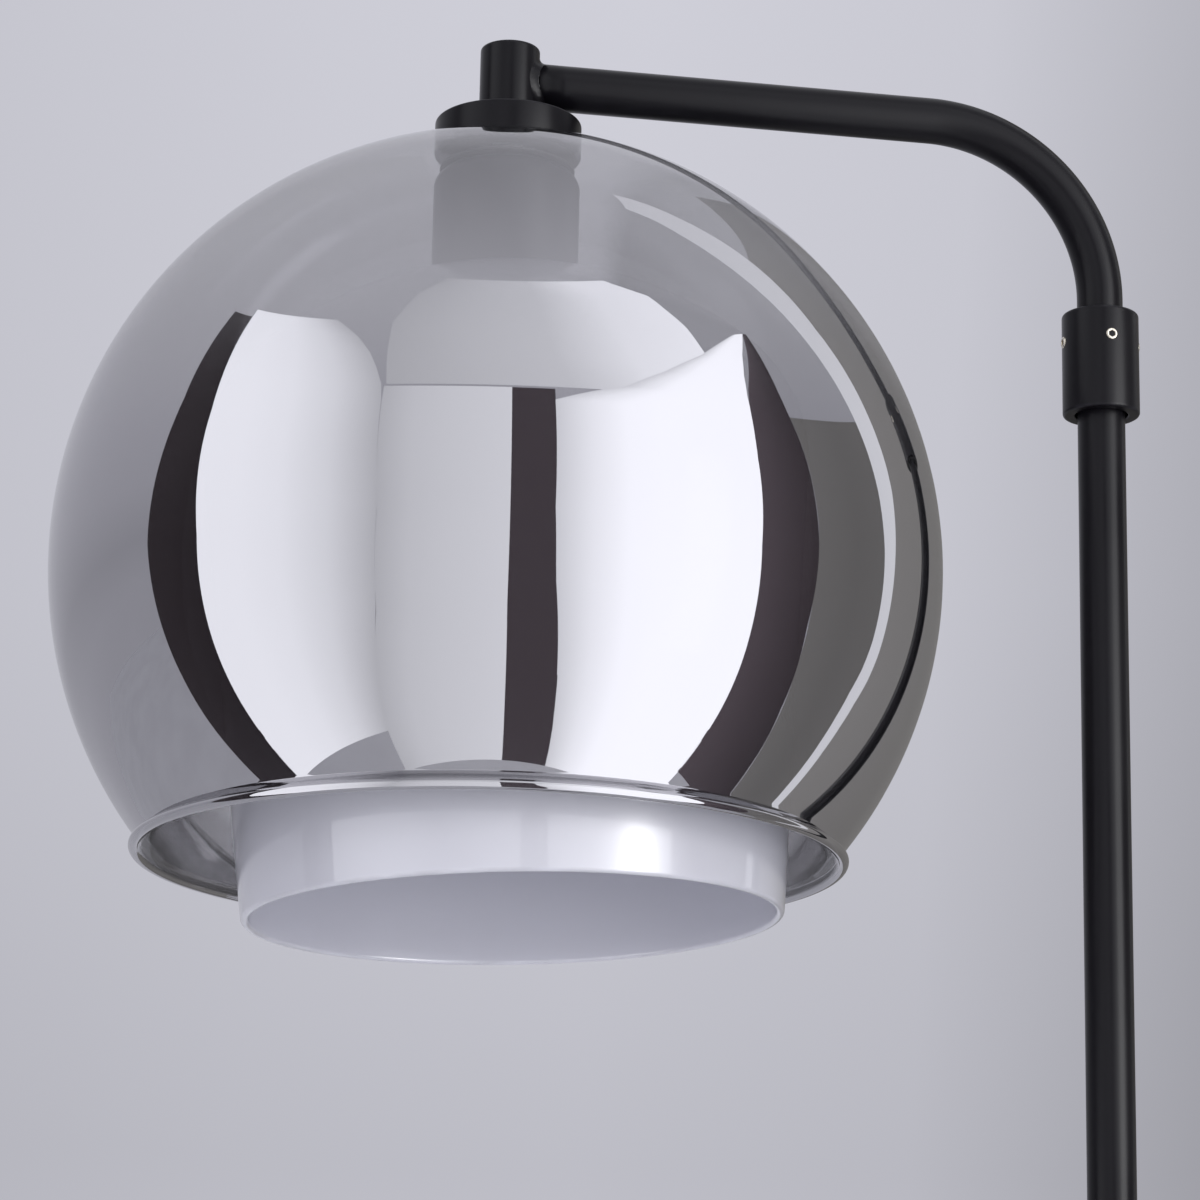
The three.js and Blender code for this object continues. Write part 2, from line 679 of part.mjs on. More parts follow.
function innerShade() {
  const outside = opalWall(0);
  const inside = opalWall(OPAL_WALL);
  return turned([...outside, ...inside.reverse()], SMOOTH)
    .translate([0, 0, -opalTop])
    .rotate([0, -OPAL_HANG_ANGLE, 0])
    .translate([0, 0, opalTop]);
}

addHeadPiece('lampholder_body', lampholderBody(), holderPlastic);
addHeadPiece('lampholder_contact', holderContact(), brass);
addHeadPiece('lampholder_shell', screwShell(), brass);
addHeadPiece('inner_shade', innerShade(), opalGlass);
addHeadPiece('shade_ring', shadeRing(), holderPlastic);

// ---- Bulb ----
const capLow = bulbTop - BULB_CONTACT_HEIGHT - BULB_CAP_LENGTH;
const housingLow = capLow - BULB_HOUSING_LENGTH;

function bulbContact() {
  return sleeve(CONTACT_RADIUS, 0, bulbTop - BULB_CONTACT_HEIGHT, bulbTop);
}

function bulbCap() {
  const high = bulbTop - BULB_CONTACT_HEIGHT - SEAT_GAP;
  return turned([
    [0, capLow + SEAT_GAP],
    [BULB_CAP_RADIUS, capLow + SEAT_GAP],
    [BULB_CAP_RADIUS, high - BULB_CONE_HEIGHT],
    [CONTACT_RADIUS + BULB_CONE_MARGIN, high],
    [0, high],
  ]);
}

function bulbHousing() {
  const neck = capLow - BULB_NECK;
  return turned([
    [0, housingLow + SEAT_GAP],
    [BULB_RADIUS - BULB_BRIM_INSET, housingLow + SEAT_GAP],
    [BULB_RADIUS - HOUSING_SHOULDER_INSET, housingLow + HOUSING_SHOULDER_HEIGHT],
    [BULB_CAP_RADIUS + HOUSING_NECK_FLARE, neck - HOUSING_NECK_FLARE],
    [BULB_CAP_RADIUS, neck],
    [BULB_CAP_RADIUS, capLow],
    [0, capLow],
  ]);
}

// Diffuser: a short flare below the housing that closes in a half ellipse
function bulbDiffuser() {
  const centre = [0, bulbBottom + BULB_RADIUS];
  const bowl = (offset) => {
    const radius = BULB_RADIUS - offset;
    return arcPoints(centre, radius, -Math.PI / 2, 0, BULB_BOWL_STEPS);
  };
  const brim = BULB_RADIUS - BULB_BRIM_INSET;
  const outside = [...bowl(0), [brim, housingLow]];
  const inside = [...bowl(BULB_WALL), [brim - BULB_WALL, housingLow]];
  return turned([...outside, ...inside.reverse()]);
}

addHeadPiece('bulb_contact', bulbContact(), brass);
addHeadPiece('bulb_cap', bulbCap(), nickel);
addHeadPiece('bulb_housing', bulbHousing(), bulbPlastic);
addHeadPiece('bulb_diffuser', bulbDiffuser(), bulbPlastic);

export default lamp;
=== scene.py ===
"""Finish pieces and studio for an arc floor lamp with a smoked mirror globe over an opal shade.

Every piece is a numpy surface in metres, in the lamp's own frame: the origin is on the floor,
on the pole's axis, +Z is up and the arm runs towards -X.
"""

import bmesh
import bpy
import numpy as np
from bpy.props import (
    FloatProperty,
    FloatVectorProperty,
    IntProperty,
    PointerProperty,
)
from mathutils import Matrix, Vector


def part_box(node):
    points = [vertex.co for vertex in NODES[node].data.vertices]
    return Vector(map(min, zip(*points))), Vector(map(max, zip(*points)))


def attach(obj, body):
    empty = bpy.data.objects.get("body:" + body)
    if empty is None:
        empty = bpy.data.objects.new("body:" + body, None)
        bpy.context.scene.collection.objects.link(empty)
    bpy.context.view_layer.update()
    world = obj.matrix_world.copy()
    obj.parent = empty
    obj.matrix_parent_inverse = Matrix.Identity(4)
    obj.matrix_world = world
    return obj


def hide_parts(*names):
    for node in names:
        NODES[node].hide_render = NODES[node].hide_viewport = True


bl_info = {
    "name": "Arc Floor Lamp",
    "version": (1, 0, 0),
    "blender": (4, 5, 0),
    "location": "View3D > Sidebar > Floor Lamp",
    "description": "Builds the finish pieces and the studio of an arc floor lamp",
    "category": "Object",
}

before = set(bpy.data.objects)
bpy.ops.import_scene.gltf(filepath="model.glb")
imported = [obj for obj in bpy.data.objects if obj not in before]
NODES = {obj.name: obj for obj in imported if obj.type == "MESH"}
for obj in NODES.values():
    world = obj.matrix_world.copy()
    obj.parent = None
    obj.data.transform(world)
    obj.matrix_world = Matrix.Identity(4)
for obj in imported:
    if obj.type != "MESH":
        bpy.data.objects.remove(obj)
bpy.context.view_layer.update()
TURN = 2 * np.pi
TUBE_WALL = 0.0012  # wall of the tubes, the drawn shells and the bulb's bowl
NIPPLE_HOLE = 0.0053  # radius of the holes that the threaded nipple passes
SEAT_GAP = 0.0003  # gap between a piece and the one that it seats on or slides over
ARM_BEND = 0.06  # radius of the arm's bend, at its centreline
BLACK_COAT = "black_powder_coat"


# ---------------------------------------------------------------------------
# Measures read from the frame
# ---------------------------------------------------------------------------


class Place:
    """Where a turned node stands: its axis, its radius and its two levels."""

    def __init__(self, node):
        low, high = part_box(node)
        self.node = node
        self.x = (low.x + high.x) / 2
        self.y = (low.y + high.y) / 2
        self.radius = (high.y - low.y) / 2
        self.low = low.z
        self.high = high.z

    @property
    def axis(self):
        return (self.x, self.y)


# ---------------------------------------------------------------------------
# Sizes and colours that a user would change
# ---------------------------------------------------------------------------


def length(name, description, default):
    return FloatProperty(
        name=name, description=description, default=default, unit="LENGTH", precision=5
    )


def colour(name, description, default):
    return FloatVectorProperty(
        name=name, description=description, default=default, subtype="COLOR", size=3, min=0
    )


def tilt(name, description, default):
    return FloatProperty(name=name, description=description, default=default, subtype="ANGLE")


def amount(name, description, default):
    return FloatProperty(name=name, description=description, default=default)


class LampSizes(bpy.types.PropertyGroup):
    """Sizes of the fine detail that the frame doesn't fix."""

    facets: IntProperty(name="Facets", description="Steps round a turned piece", default=128)
    edge: length("Edge", "Rounding of turned metal edges", 0.0008)
    joint_groove: length("Joint Groove", "Chamfer where two pole sections meet", 0.0005)
    weld_reach: length("Weld Reach", "How far the weld spreads over tube and hub", 0.0024)
    globe_wall: length("Globe Wall", "Thickness of the globe's glass", 0.0028)
    globe_lip: length("Globe Lip", "Height of the beaded lip", 0.0036)
    globe_flare: length("Globe Flare", "How far the lip stands out", 0.0038)
    globe_neck_margin: length("Globe Neck", "Flat seat beyond the cap", 0.0005)
    opal_waist: length("Opal Waist", "Radius where shoulder and drum meet", 0.099)
    opal_mouth: length("Opal Mouth", "Outer radius of the mouth", 0.0864)
    opal_height: length("Opal Height", "Neck to mouth", 0.2125)
    opal_crown: length("Opal Crown", "Radius of the domed top", 0.130)
    opal_shoulder: length("Opal Shoulder", "Radius of the shoulder", 0.045)
    opal_wall: length("Opal Wall", "Thickness of the opal glass", 0.0026)
    opal_neck: length("Opal Neck", "Radius of the flat neck", 0.026)
    opal_hang: tilt("Opal Hang", "How far the shade hangs off plumb", np.radians(2.2))
    thread_pitch: length("Thread Pitch", "Rise of the bulb's thread in one turn", 0.003629)
    thread_depth: length("Thread Depth", "Crest to root of the bulb's thread", 0.0009)
    socket_flats: length("Socket Flats", "Width of the hexagon socket", 0.002)
    socket_depth: length("Socket Depth", "Depth of the hexagon socket", 0.0022)


class LampColours(bpy.types.PropertyGroup):
    """Colours of the lamp's finishes."""

    powder: colour("Powder Coat", "Satin black powder coat", (0.0048, 0.0043, 0.0062))
    powder_worn: colour("Worn Powder", "Powder coat rubbed on its edges", (0.020, 0.019, 0.024))
    mirror: colour("Mirror", "Smoked chrome coat of the globe", (0.475, 0.47, 0.49))
    # Painted reflection: a darker mirror colour towards the globe's neck, for its weaker
    # reflection there
    mirror_painted_neck: colour("Mirror Edge", "Coat where it lies thin", (0.45, 0.445, 0.47))
    opal: colour("Opal", "White opal glass", (0.80, 0.80, 0.865))
    opal_thin: colour("Opal Rim", "Opal glass at its ground edge", (0.62, 0.62, 0.66))
    nickel: colour("Nickel", "Bright nickel plate", (0.60, 0.56, 0.48))
    # Painted shade: the dark colour inside the hexagon sockets, where the recess lies in shade
    socket: colour("Socket", "Oiled steel inside a socket", (0.30, 0.22, 0.12))
    zinc: colour("Zinc", "Zinc plate", (0.55, 0.56, 0.58))
    brass: colour("Brass", "Drawn brass", (0.62, 0.45, 0.20))
    iron: colour("Iron", "Cast iron", (0.055, 0.055, 0.06))
    felt: colour("Felt", "Pressed black felt", (0.022, 0.022, 0.024))
    rubber: colour("Rubber", "Matt moulded rubber", (0.018, 0.018, 0.018))
    holder: colour("Holder", "Black moulded thermoset", (0.02, 0.02, 0.022))
    bulb: colour("Bulb", "White diffusing plastic", (0.86, 0.86, 0.84))


class StudioSettings(bpy.types.PropertyGroup):
    """Backdrop, cards and camera."""

    wall: colour("Wall", "Plain wall round the lamp", (0.575, 0.575, 0.635))
    ceiling: colour("Ceiling", "Pale ceiling", (0.77, 0.775, 0.83))
    floor: colour("Floor", "Plain pale floor", (0.82, 0.82, 0.84))
    card_reach: length("Card Reach", "Distance of the cards from the globe", 2.2)
    flat_light: amount("Flat Light", "Light of the white flats", 2.0)
    key_power: amount("Key Power", "Watts of the softbox", 105.0)
    fill_power: amount("Fill Power", "Watts of the front fill", 22.0)
    lens: amount("Lens", "Focal length in mm", 120.55)
    camera_place: FloatVectorProperty(
        name="Camera Place",
        description="Where the camera stands",
        default=(-0.3909, -1.2460, 1.0240),
        subtype="TRANSLATION",
    )
    camera_yaw: tilt("Yaw", "Turn to the right", 0.1749)
    camera_pitch: tilt("Pitch", "Tilt upwards", 0.2604)
    camera_roll: tilt("Roll", "Roll about the view", 0.0196)


# ---------------------------------------------------------------------------
# Surfaces
# ---------------------------------------------------------------------------


def grid_mesh(name, points, close_rows=False, close_columns=True, marks=None):
    """A mesh over a grid of points, shape (rows, columns, 3).

    Corner (i, j) joins (i, j+1), (i+1, j+1) and (i+1, j); a closed direction wraps round. marks
    maps an attribute's name to values that spread over the points.
    """
    rows, columns = points.shape[:2]
    i = np.arange(rows if close_rows else rows - 1)[:, None]
    j = np.arange(columns if close_columns else columns - 1)[None, :]
    below, beside = (i + 1) % rows, (j + 1) % columns
    corners = [(i, j), (i, beside), (below, beside), (below, j)]
    faces = np.stack(
        [np.broadcast_to(row * columns + column, (i.size, j.size)) for row, column in corners],
        axis=-1,
    )
    mesh = bpy.data.meshes.new(name)
    mesh.from_pydata(points.reshape(-1, 3), [], faces.reshape(-1, 4))
    for label, values in (marks or {}).items():
        layer = mesh.attributes.new(label, "FLOAT", "POINT")
        spread = np.broadcast_to(values, (rows, columns)).astype(np.float32)
        layer.data.foreach_set("value", np.ascontiguousarray(spread).ravel())
    return mesh


def tidy(mesh):
    """Merges the doubles where a surface closes on its axis and turns the normals outward."""
    work = bmesh.new()
    work.from_mesh(mesh)
    bmesh.ops.remove_doubles(work, verts=work.verts, dist=1e-6)
    bmesh.ops.recalc_face_normals(work, faces=work.faces)
    work.to_mesh(mesh)
    work.free()
    mesh.polygons.foreach_set("use_smooth", np.ones(len(mesh.polygons), bool))
    return mesh


def add_piece(name, mesh, material, body, replaced=()):
    """Puts a finished mesh in the scene as a piece that rides on a body."""
    piece = bpy.data.objects.new(name, tidy(mesh))
    bpy.context.scene.collection.objects.link(piece)
    piece.data.materials.append(material)
    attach(piece, body)
    if replaced:
        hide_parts(*replaced)
    return piece


def bend_marks(profile):
    """How sharply a closed profile turns at each point, 0 on a flat and 1 on a small rounding.

    Twice the turn over the reach of its two sides is the curvature, which counts in full from
    a rounding of 0.7 mm down.
    """
    full_radius = 0.0007
    ahead = np.roll(profile, -1, 0) - profile
    behind = profile - np.roll(profile, 1, 0)
    reach = np.hypot(*ahead.T) + np.hypot(*behind.T) + 1e-9
    cross = behind[:, 0] * ahead[:, 1] - behind[:, 1] * ahead[:, 0]
    turn = np.abs(np.arctan2(cross, (ahead * behind).sum(1)))
    return np.clip(2 * turn / reach * full_radius, 0, 1)


def turned(name, profile, axis, facets, sway=None, marks=None, along=None):
    """A closed profile of (radius, level) points carried round a vertical axis.

    P(t, a) = (x + r(t)*s(t, a)*cos a, y + r(t)*s(t, a)*sin a, z(t)), where s is 1 unless sway
    gives it. along maps the finished points, as for a shade that hangs off plumb.
    """
    profile = np.asarray(profile, float)
    angle = np.arange(facets) * TURN / facets
    radius = profile[:, :1] * (1 if sway is None else sway(profile, angle))
    level = np.broadcast_to(profile[:, 1:], (len(profile), facets))
    points = np.stack(
        [axis[0] + radius * np.cos(angle), axis[1] + radius * np.sin(angle), level], axis=-1
    )
    if along is not None:
        points = along(points)
    found = {"edge": bend_marks(profile)[:, None], **(marks or {})}
    return grid_mesh(name, points, close_rows=True, marks=found)


def add_turned(label, profile, place, material, slot, body="stand", facets=None, **shape):
    """Turns a profile round a node's axis into the piece that takes the node's place."""
    mesh = turned(label, profile, place.axis, facets or sizes().facets, **shape)
    return add_piece(label, mesh, material, body, [place.node])


def add_coated(label, profile, place, body="stand"):
    """A turned piece in satin black powder coat."""
    return add_turned(label, profile, place, satin_powder_coat(), BLACK_COAT, body)


def quadratic(t, first, middle, last):
    """The curve (1-t)^2 A + 2t(1-t) B + t^2 C."""
    return (1 - t) ** 2 * first + 2 * t * (1 - t) * middle + t**2 * last


def arc(centre, radius, start, end, steps=8):
    """Points (radius, level) on an arc: C + R*(cos q, sin q), q from start to end."""
    q = np.linspace(start, end, steps + 1)
    return np.stack([centre[0] + radius * np.cos(q), centre[1] + radius * np.sin(q)], axis=1)


def rounded(corners, radii, steps=6):
    """A closed profile through corners, each rounded by a quadratic curve of its own reach.

    At corner B between A and C the profile runs (1-t)^2 P + 2t(1-t) B + t^2 Q, where P and Q
    lie on BA and BC at that reach.
    """
    corners = np.asarray(corners, float)
    reach = np.broadcast_to(np.asarray(radii, float), (len(corners),))[:, None]
    back = np.roll(corners, 1, 0) - corners
    ahead = np.roll(corners, -1, 0) - corners
    back_length = np.hypot(*back.T)[:, None]
    ahead_length = np.hypot(*ahead.T)[:, None]
    just_under_half = 0.49
    reach = np.minimum(reach, just_under_half * np.minimum(back_length, ahead_length))
    start = corners + back / back_length * reach
    end = corners + ahead / ahead_length * reach
    t = np.linspace(0, 1, steps + 1)[None, :, None]
    return quadratic(t, start[:, None], corners[:, None], end[:, None]).reshape(-1, 2)


def sleeve_profile(outer, inner, low, high, edge, inner_edge=None):
    """A rounded rectangular section between two radii and two levels."""
    soft = edge if inner_edge is None else inner_edge
    corners = [(inner, low), (outer, low), (outer, high), (inner, high)]
    return rounded(corners, [soft, edge, edge, soft])


# ---------------------------------------------------------------------------
# Shared shading detail
# ---------------------------------------------------------------------------


def node_group(name, inputs, outputs):
    """An empty shader group: its number inputs with their defaults, and its outputs' kinds."""
    group = bpy.data.node_groups.new(name, "ShaderNodeTree")
    for label, default in inputs.items():
        socket = group.interface.new_socket(
            label, in_out="INPUT", socket_type="NodeSocketFloat"
        )
        socket.default_value = default
    for label, kind in outputs.items():
        group.interface.new_socket(label, in_out="OUTPUT", socket_type=kind)
    return group, group.nodes.new("NodeGroupInput"), group.nodes.new("NodeGroupOutput")


def add_node(tree, kind, values=(), **settings):
    """A node with its settings, and the values of its unlinked inputs."""
    made = tree.nodes.new(kind)
    for label, value in settings.items():
        setattr(made, label, value)
    for label, value in dict(values).items():
        made.inputs[label].default_value = value
    return made


def wire(tree, *pairs):
    """Links each pair of an output and an input."""
    for source, target in pairs:
        tree.links.new(source, target)


def add_noise(group, given, **values):
    """Noise on the piece's own coordinates, at the scale that the group is given."""
    place = add_node(group, "ShaderNodeTexCoord")
    noise = add_node(group, "ShaderNodeTexNoise", values)
    wire(
        group,
        (place.outputs["Object"], noise.inputs["Vector"]),
        (given.outputs["Scale"], noise.inputs["Scale"]),
    )
    return noise.outputs["Fac"]


def add_soft_step(group, source, start, end):
    """Smooth step of a value, from nothing at start to all at end."""
    step = add_node(
        group, "ShaderNodeMapRange", {"From Min": start, "From Max": end},
        interpolation_type="SMOOTHSTEP",
    )
    wire(group, (source, step.inputs["Value"]))
    return step


def built_once(build):
    """Keeps one node group per effect, so that each material places the same one."""
    made = []

    def fetch():
        if not made:
            made.append(build())
        return made[0]

    return fetch


@built_once
def grain_group():
    """Fine grain of a moulded, cast or sprayed surface: a mask and the normal it bends."""
    group, given, result = node_group(
        "fine grain",
        {"Scale": 1200.0, "Height": 0.00002, "Strength": 0.3},
        {"Mask": "NodeSocketFloat", "Normal": "NodeSocketVector"},
    )
    noise = add_noise(group, given, Detail=3, Roughness=0.6)
    bump = add_node(group, "ShaderNodeBump")
    wire(
        group,
        (noise, bump.inputs["Height"]),
        (given.outputs["Height"], bump.inputs["Distance"]),
        (given.outputs["Strength"], bump.inputs["Strength"]),
        (noise, result.inputs["Mask"]),
        (bump.outputs["Normal"], result.inputs["Normal"]),
    )
    return group


@built_once
def marks_group():
    """Broad handling marks: a soft mask that lies between Low and High."""
    group, given, result = node_group(
        "handling marks", {"Scale": 14.0, "Low": 0.0, "High": 1.0}, {"Value": "NodeSocketFloat"}
    )
    spread = add_soft_step(group, add_noise(group, given, Detail=4), 0.32, 0.68)
    wire(
        group,
        (given.outputs["Low"], spread.inputs["To Min"]),
        (given.outputs["High"], spread.inputs["To Max"]),
        (spread.outputs["Result"], result.inputs["Value"]),
    )
    return group


@built_once
def edge_group():
    """Rubbed edges: the piece's edge attribute broken up by a patchy noise."""
    group, given, result = node_group(
        "rubbed edges", {"Scale": 160.0}, {"Mask": "NodeSocketFloat"}
    )
    edge = add_node(group, "ShaderNodeAttribute", attribute_name="edge")
    patches = add_soft_step(group, add_noise(group, given, Detail=5), 0.35, 0.7)
    both = add_node(group, "ShaderNodeMath", operation="MULTIPLY")
    wire(
        group,
        (edge.outputs["Fac"], both.inputs[0]),
        (patches.outputs["Result"], both.inputs[1]),
        (both.outputs["Value"], result.inputs["Mask"]),
    )
    return group


class Finish:
    """A material being built: its tree, its shader and the shared groups wired to it."""

    def __init__(self, name, **constants):
        self.material = bpy.data.materials.new(name)
        self.material.use_nodes = True
        self.tree = self.material.node_tree
        self.shader = self.tree.nodes["Principled BSDF"]
        for label, value in constants.items():
            self.shader.inputs[label.replace("_", " ")].default_value = value

    def link(self, source, target):
        self.tree.links.new(source, target)

    def group(self, group, **values):
        """Places a shared group with this finish's own values."""
        return add_node(self.tree, "ShaderNodeGroup", values, node_tree=group)

    def grain(self, scale, height, strength):
        made = self.group(grain_group(), Scale=scale, Height=height, Strength=strength)
        self.link(made.outputs["Normal"], self.shader.inputs["Normal"])
        return made.outputs["Mask"]

    def marks(self, scale, low, high):
        return self.group(marks_group(), Scale=scale, Low=low, High=high).outputs["Value"]

    def rough(self, scale, low, high):
        self.link(self.marks(scale, low, high), self.shader.inputs["Roughness"])

    def blend(self, mask, first, second):
        """Colour that goes from first to second with a mask."""
        mix = add_node(self.tree, "ShaderNodeMix", data_type="RGBA")
        self.link(mask, mix.inputs["Factor"])
        for socket, value in ((mix.inputs[6], first), (mix.inputs[7], second)):
            if isinstance(value, bpy.types.NodeSocket):
                self.link(value, socket)
            else:
                socket.default_value = (*value, 1)
        return mix.outputs[2]

    def paint(self, source):
        self.link(source, self.shader.inputs["Base Color"])


def made_once(build):
    """Keeps one material per finish, so that like pieces share it."""
    return built_once(lambda: build().material)


def shade(colour_value, factor):
    return tuple(min(1.0, part * factor) for part in colour_value)


def colours():
    return bpy.context.scene.lamp_colours


def sizes():
    return bpy.context.scene.lamp_sizes


@made_once
def satin_powder_coat():
    """Satin black powder coat: fine orange peel, soft marks and faintly rubbed edges."""
    c = colours()
    finish = Finish("satin_powder_coat", Metallic=0.0, IOR=1.26)
    mask = finish.grain(1500, 0.00002, 0.28)
    body = finish.blend(mask, shade(c.powder, 0.8), shade(c.powder, 1.25))
    worn = finish.group(edge_group(), Scale=180).outputs["Mask"]
    finish.paint(finish.blend(worn, body, tuple(c.powder_worn)))
    finish.rough(22, 0.28, 0.35)
    return finish


@made_once
def smoked_mirror_glass():
    """Blown glass with a smoke chrome coat, with a painted reflection fade towards the neck.

    The share of light that the coat stops rises smoothly from the neck down to the widest
    level. This is painted: a weaker, darker mirror near the neck stands in for the darker
    surroundings reflected there. The share grows at grazing angles, and wanders a little from
    place to place.
    """
    c = colours()
    globe = Place("outer_shade")
    finish = Finish("smoked_mirror_finish", Metallic=1.0, Roughness=0.012)
    tree = finish.tree
    place = add_node(tree, "ShaderNodeTexCoord")
    split = add_node(tree, "ShaderNodeSeparateXYZ")
    coat = add_node(tree, "ShaderNodeAttribute", attribute_name="coat")
    # Painted reflection: from the widest level up to the neck the coat turns more see-through and
    # darker
    neck_level, full_level = globe.high - 0.010, globe.high - 0.125
    height = add_soft_step(tree, split.outputs["Z"], neck_level, full_level)
    height.inputs["To Min"].default_value = 0.42
    height.inputs["To Max"].default_value = 0.935
    facing = add_node(tree, "ShaderNodeLayerWeight", {"Blend": 0.28})
    sides = add_node(tree, "ShaderNodeMath", operation="MAXIMUM", use_clamp=True)
    wander = add_node(tree, "ShaderNodeMath", operation="ADD", use_clamp=True)
    stopped = add_node(tree, "ShaderNodeMath", operation="MULTIPLY", use_clamp=True)
    wire(
        tree,
        (place.outputs["Object"], split.inputs["Vector"]),
        (height.outputs["Result"], sides.inputs[0]),
        (facing.outputs["Facing"], sides.inputs[1]),
        (sides.outputs["Value"], wander.inputs[0]),
        (finish.marks(9, -0.012, 0.012), wander.inputs[1]),
        (wander.outputs["Value"], stopped.inputs[0]),
        (coat.outputs["Fac"], stopped.inputs[1]),
        (stopped.outputs["Value"], finish.shader.inputs["Alpha"]),
    )
    finish.paint(finish.blend(height.outputs["Result"], tuple(c.mirror_painted_neck), tuple(c.mirror)))
    return finish


@made_once
def opal_glass():
    """Glossy white opal glass, a little greyer and thinner at its ground edge."""
    c = colours()
    finish = Finish(
        "opal_finish", Metallic=0.0, Roughness=0.28, Coat_Weight=0.9, Coat_Roughness=0.03
    )
    edge = finish.group(edge_group(), Scale=60).outputs["Mask"]
    body = finish.blend(finish.marks(16, 0.0, 1.0), tuple(c.opal), shade(c.opal, 0.97))
    finish.paint(finish.blend(edge, body, tuple(c.opal_thin)))
    finish.grain(40, 0.0004, 0.04)
    return finish


def plated(name, tint, low, high, scale, strength):
    finish = Finish(name, Metallic=1.0)
    mask = finish.grain(scale, 0.00002, strength)
    finish.paint(finish.blend(mask, shade(tint, 0.85), shade(tint, 1.1)))
    finish.rough(60, low, high)
    return finish


@made_once
def bright_nickel():
    """Bright nickel plate with faint wiping marks."""
    return plated("bright_nickel", colours().nickel, 0.16, 0.28, 900, 0.08)


@made_once
def zinc_plate():
    """Zinc plate with a cloudy passivated surface."""
    return plated("zinc_plate", colours().zinc, 0.3, 0.46, 700, 0.15)


@made_once
def drawn_brass():
    """Drawn brass, lightly tarnished."""
    return plated("drawn_brass", colours().brass, 0.25, 0.42, 500, 0.12)


@made_once
def socket_painted_shade():
    """Painted shade inside the hexagon sockets: dark metal where the recess lies in shade."""
    return plated("socket_painted_shade", colours().socket, 0.35, 0.5, 900, 0.2)


def moulded(name, tint, low, high, scale, height, strength):
    finish = Finish(name, Metallic=0.0)
    mask = finish.grain(scale, height, strength)
    finish.paint(finish.blend(mask, shade(tint, 0.75), shade(tint, 1.3)))
    finish.rough(30, low, high)
    return finish


@made_once
def cast_iron():
    """Sand-cast iron: coarse pits and a dull skin."""
    return moulded("cast_iron_finish", colours().iron, 0.6, 0.85, 260, 0.0004, 0.7)


@made_once
def pressed_felt():
    """Pressed felt: a dense mat of short fibres."""
    return moulded("pressed_felt", colours().felt, 0.9, 1.0, 1400, 0.0004, 0.9)


@made_once
def matt_rubber():
    """Matt moulded rubber."""
    return moulded("matt_rubber", colours().rubber, 0.7, 0.85, 900, 0.00005, 0.3)


@made_once
def black_thermoset():
    """Glossy black thermoset of the lampholder."""
    return moulded("black_thermoset", colours().holder, 0.28, 0.42, 600, 0.00003, 0.2)


@made_once
def frosted_plastic():
    """White diffusing plastic of the bulb."""
    c = colours()
    finish = Finish("frosted_plastic", Metallic=0.0, Subsurface_Weight=0.1)
    mask = finish.grain(1100, 0.00002, 0.12)
    finish.paint(finish.blend(mask, shade(c.bulb, 0.96), tuple(c.bulb)))
    finish.rough(18, 0.36, 0.46)
    return finish


# ---------------------------------------------------------------------------
# Pieces
# ---------------------------------------------------------------------------


class LAMP_OT_base(bpy.types.Operator):
    """Felt pad, pressed cover with its rounded edge, and the ring at the pole's foot"""

    bl_idname = "lamp.base"
    bl_label = "Base"

    def execute(self, context):
        pad = Place("base_pad")
        profile = sleeve_profile(pad.radius, 0, pad.low, pad.high, 0.0008)
        add_turned("felt_pad", profile, pad, pressed_felt(), "felt")
        cover = Place("base_cover")
        bend, ease, stud_hole = 0.005, 0.0003, 0.00525
        skirt = cover.radius - TUBE_WALL
        under = cover.high - TUBE_WALL
        corner = (cover.radius - bend, cover.high - bend)
        profile = np.vstack([
            [(skirt, cover.low), (cover.radius - TUBE_WALL / 2, cover.low - ease)],
            [(cover.radius, cover.low), (cover.radius, cover.low + 0.004)],
            arc(corner, bend, 0, np.pi / 2, 12),
            # Points on the flat keep its shading even
            [(0.09, cover.high), (0.03, cover.high), (stud_hole + 0.0004, cover.high)],
            [(stud_hole, cover.high - ease), (stud_hole, under + ease)],
            [(stud_hole + 0.0004, under), (0.03, under)],
            arc(corner, bend - TUBE_WALL, np.pi / 2, 0, 12),
        ])
        add_coated("base_shell", profile, cover)
        foot = Place("pole_foot")
        bore = Place("pole_lower").radius + SEAT_GAP
        profile = sleeve_profile(foot.radius, bore, foot.low, foot.high, 0.0014, 0.0004)
        add_coated("foot_ring", profile, foot)
        return {"FINISHED"}


class LAMP_OT_grommet(bpy.types.Operator):
    """Rubber grommet through the back of the base cover, with rounded flanges"""

    bl_idname = "lamp.grommet"
    bl_label = "Cord Grommet"

    def execute(self, context):
        low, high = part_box("cord_grommet")
        level = (low.z + high.z) / 2
        flange = (high.z - low.z) / 2
        neck = flange - 0.0014
        bore = 0.003
        face = flange - 0.0007
        outer_end, inner_end = low.x + 0.0014, high.x - 0.0011
        corners = [
            (bore, low.x), (flange, low.x), (flange, outer_end), (neck, outer_end),
            (neck, inner_end), (face, inner_end), (face, high.x), (bore, high.x),
        ]
        profile = rounded(corners, 0.0005)

        def lie_down(points):
            """Turns the grommet's axis from Z to X: (x, y, z) becomes (z, y, level + x)."""
            return np.stack([points[..., 2], points[..., 1], level + points[..., 0]], axis=-1)

        mesh = turned("rubber_grommet", profile, (0, 0), 64, along=lie_down)
        add_piece("rubber_grommet", mesh, matt_rubber(), "stand", ["cord_grommet"])
        return {"FINISHED"}


class LAMP_OT_pole(bpy.types.Operator):
    """Three pole tubes, each with a fine chamfer where it meets the next"""

    bl_idname = "lamp.pole"
    bl_label = "Pole"

    def execute(self, context):
        for part in ("lower", "middle", "upper"):
            tube = Place(f"pole_{part}")
            bore = tube.radius - TUBE_WALL
            profile = sleeve_profile(
                tube.radius, bore, tube.low, tube.high, sizes().joint_groove, 0.0001
            )
            add_coated(f"pole_tube_{part}", profile, tube)
        return {"FINISHED"}


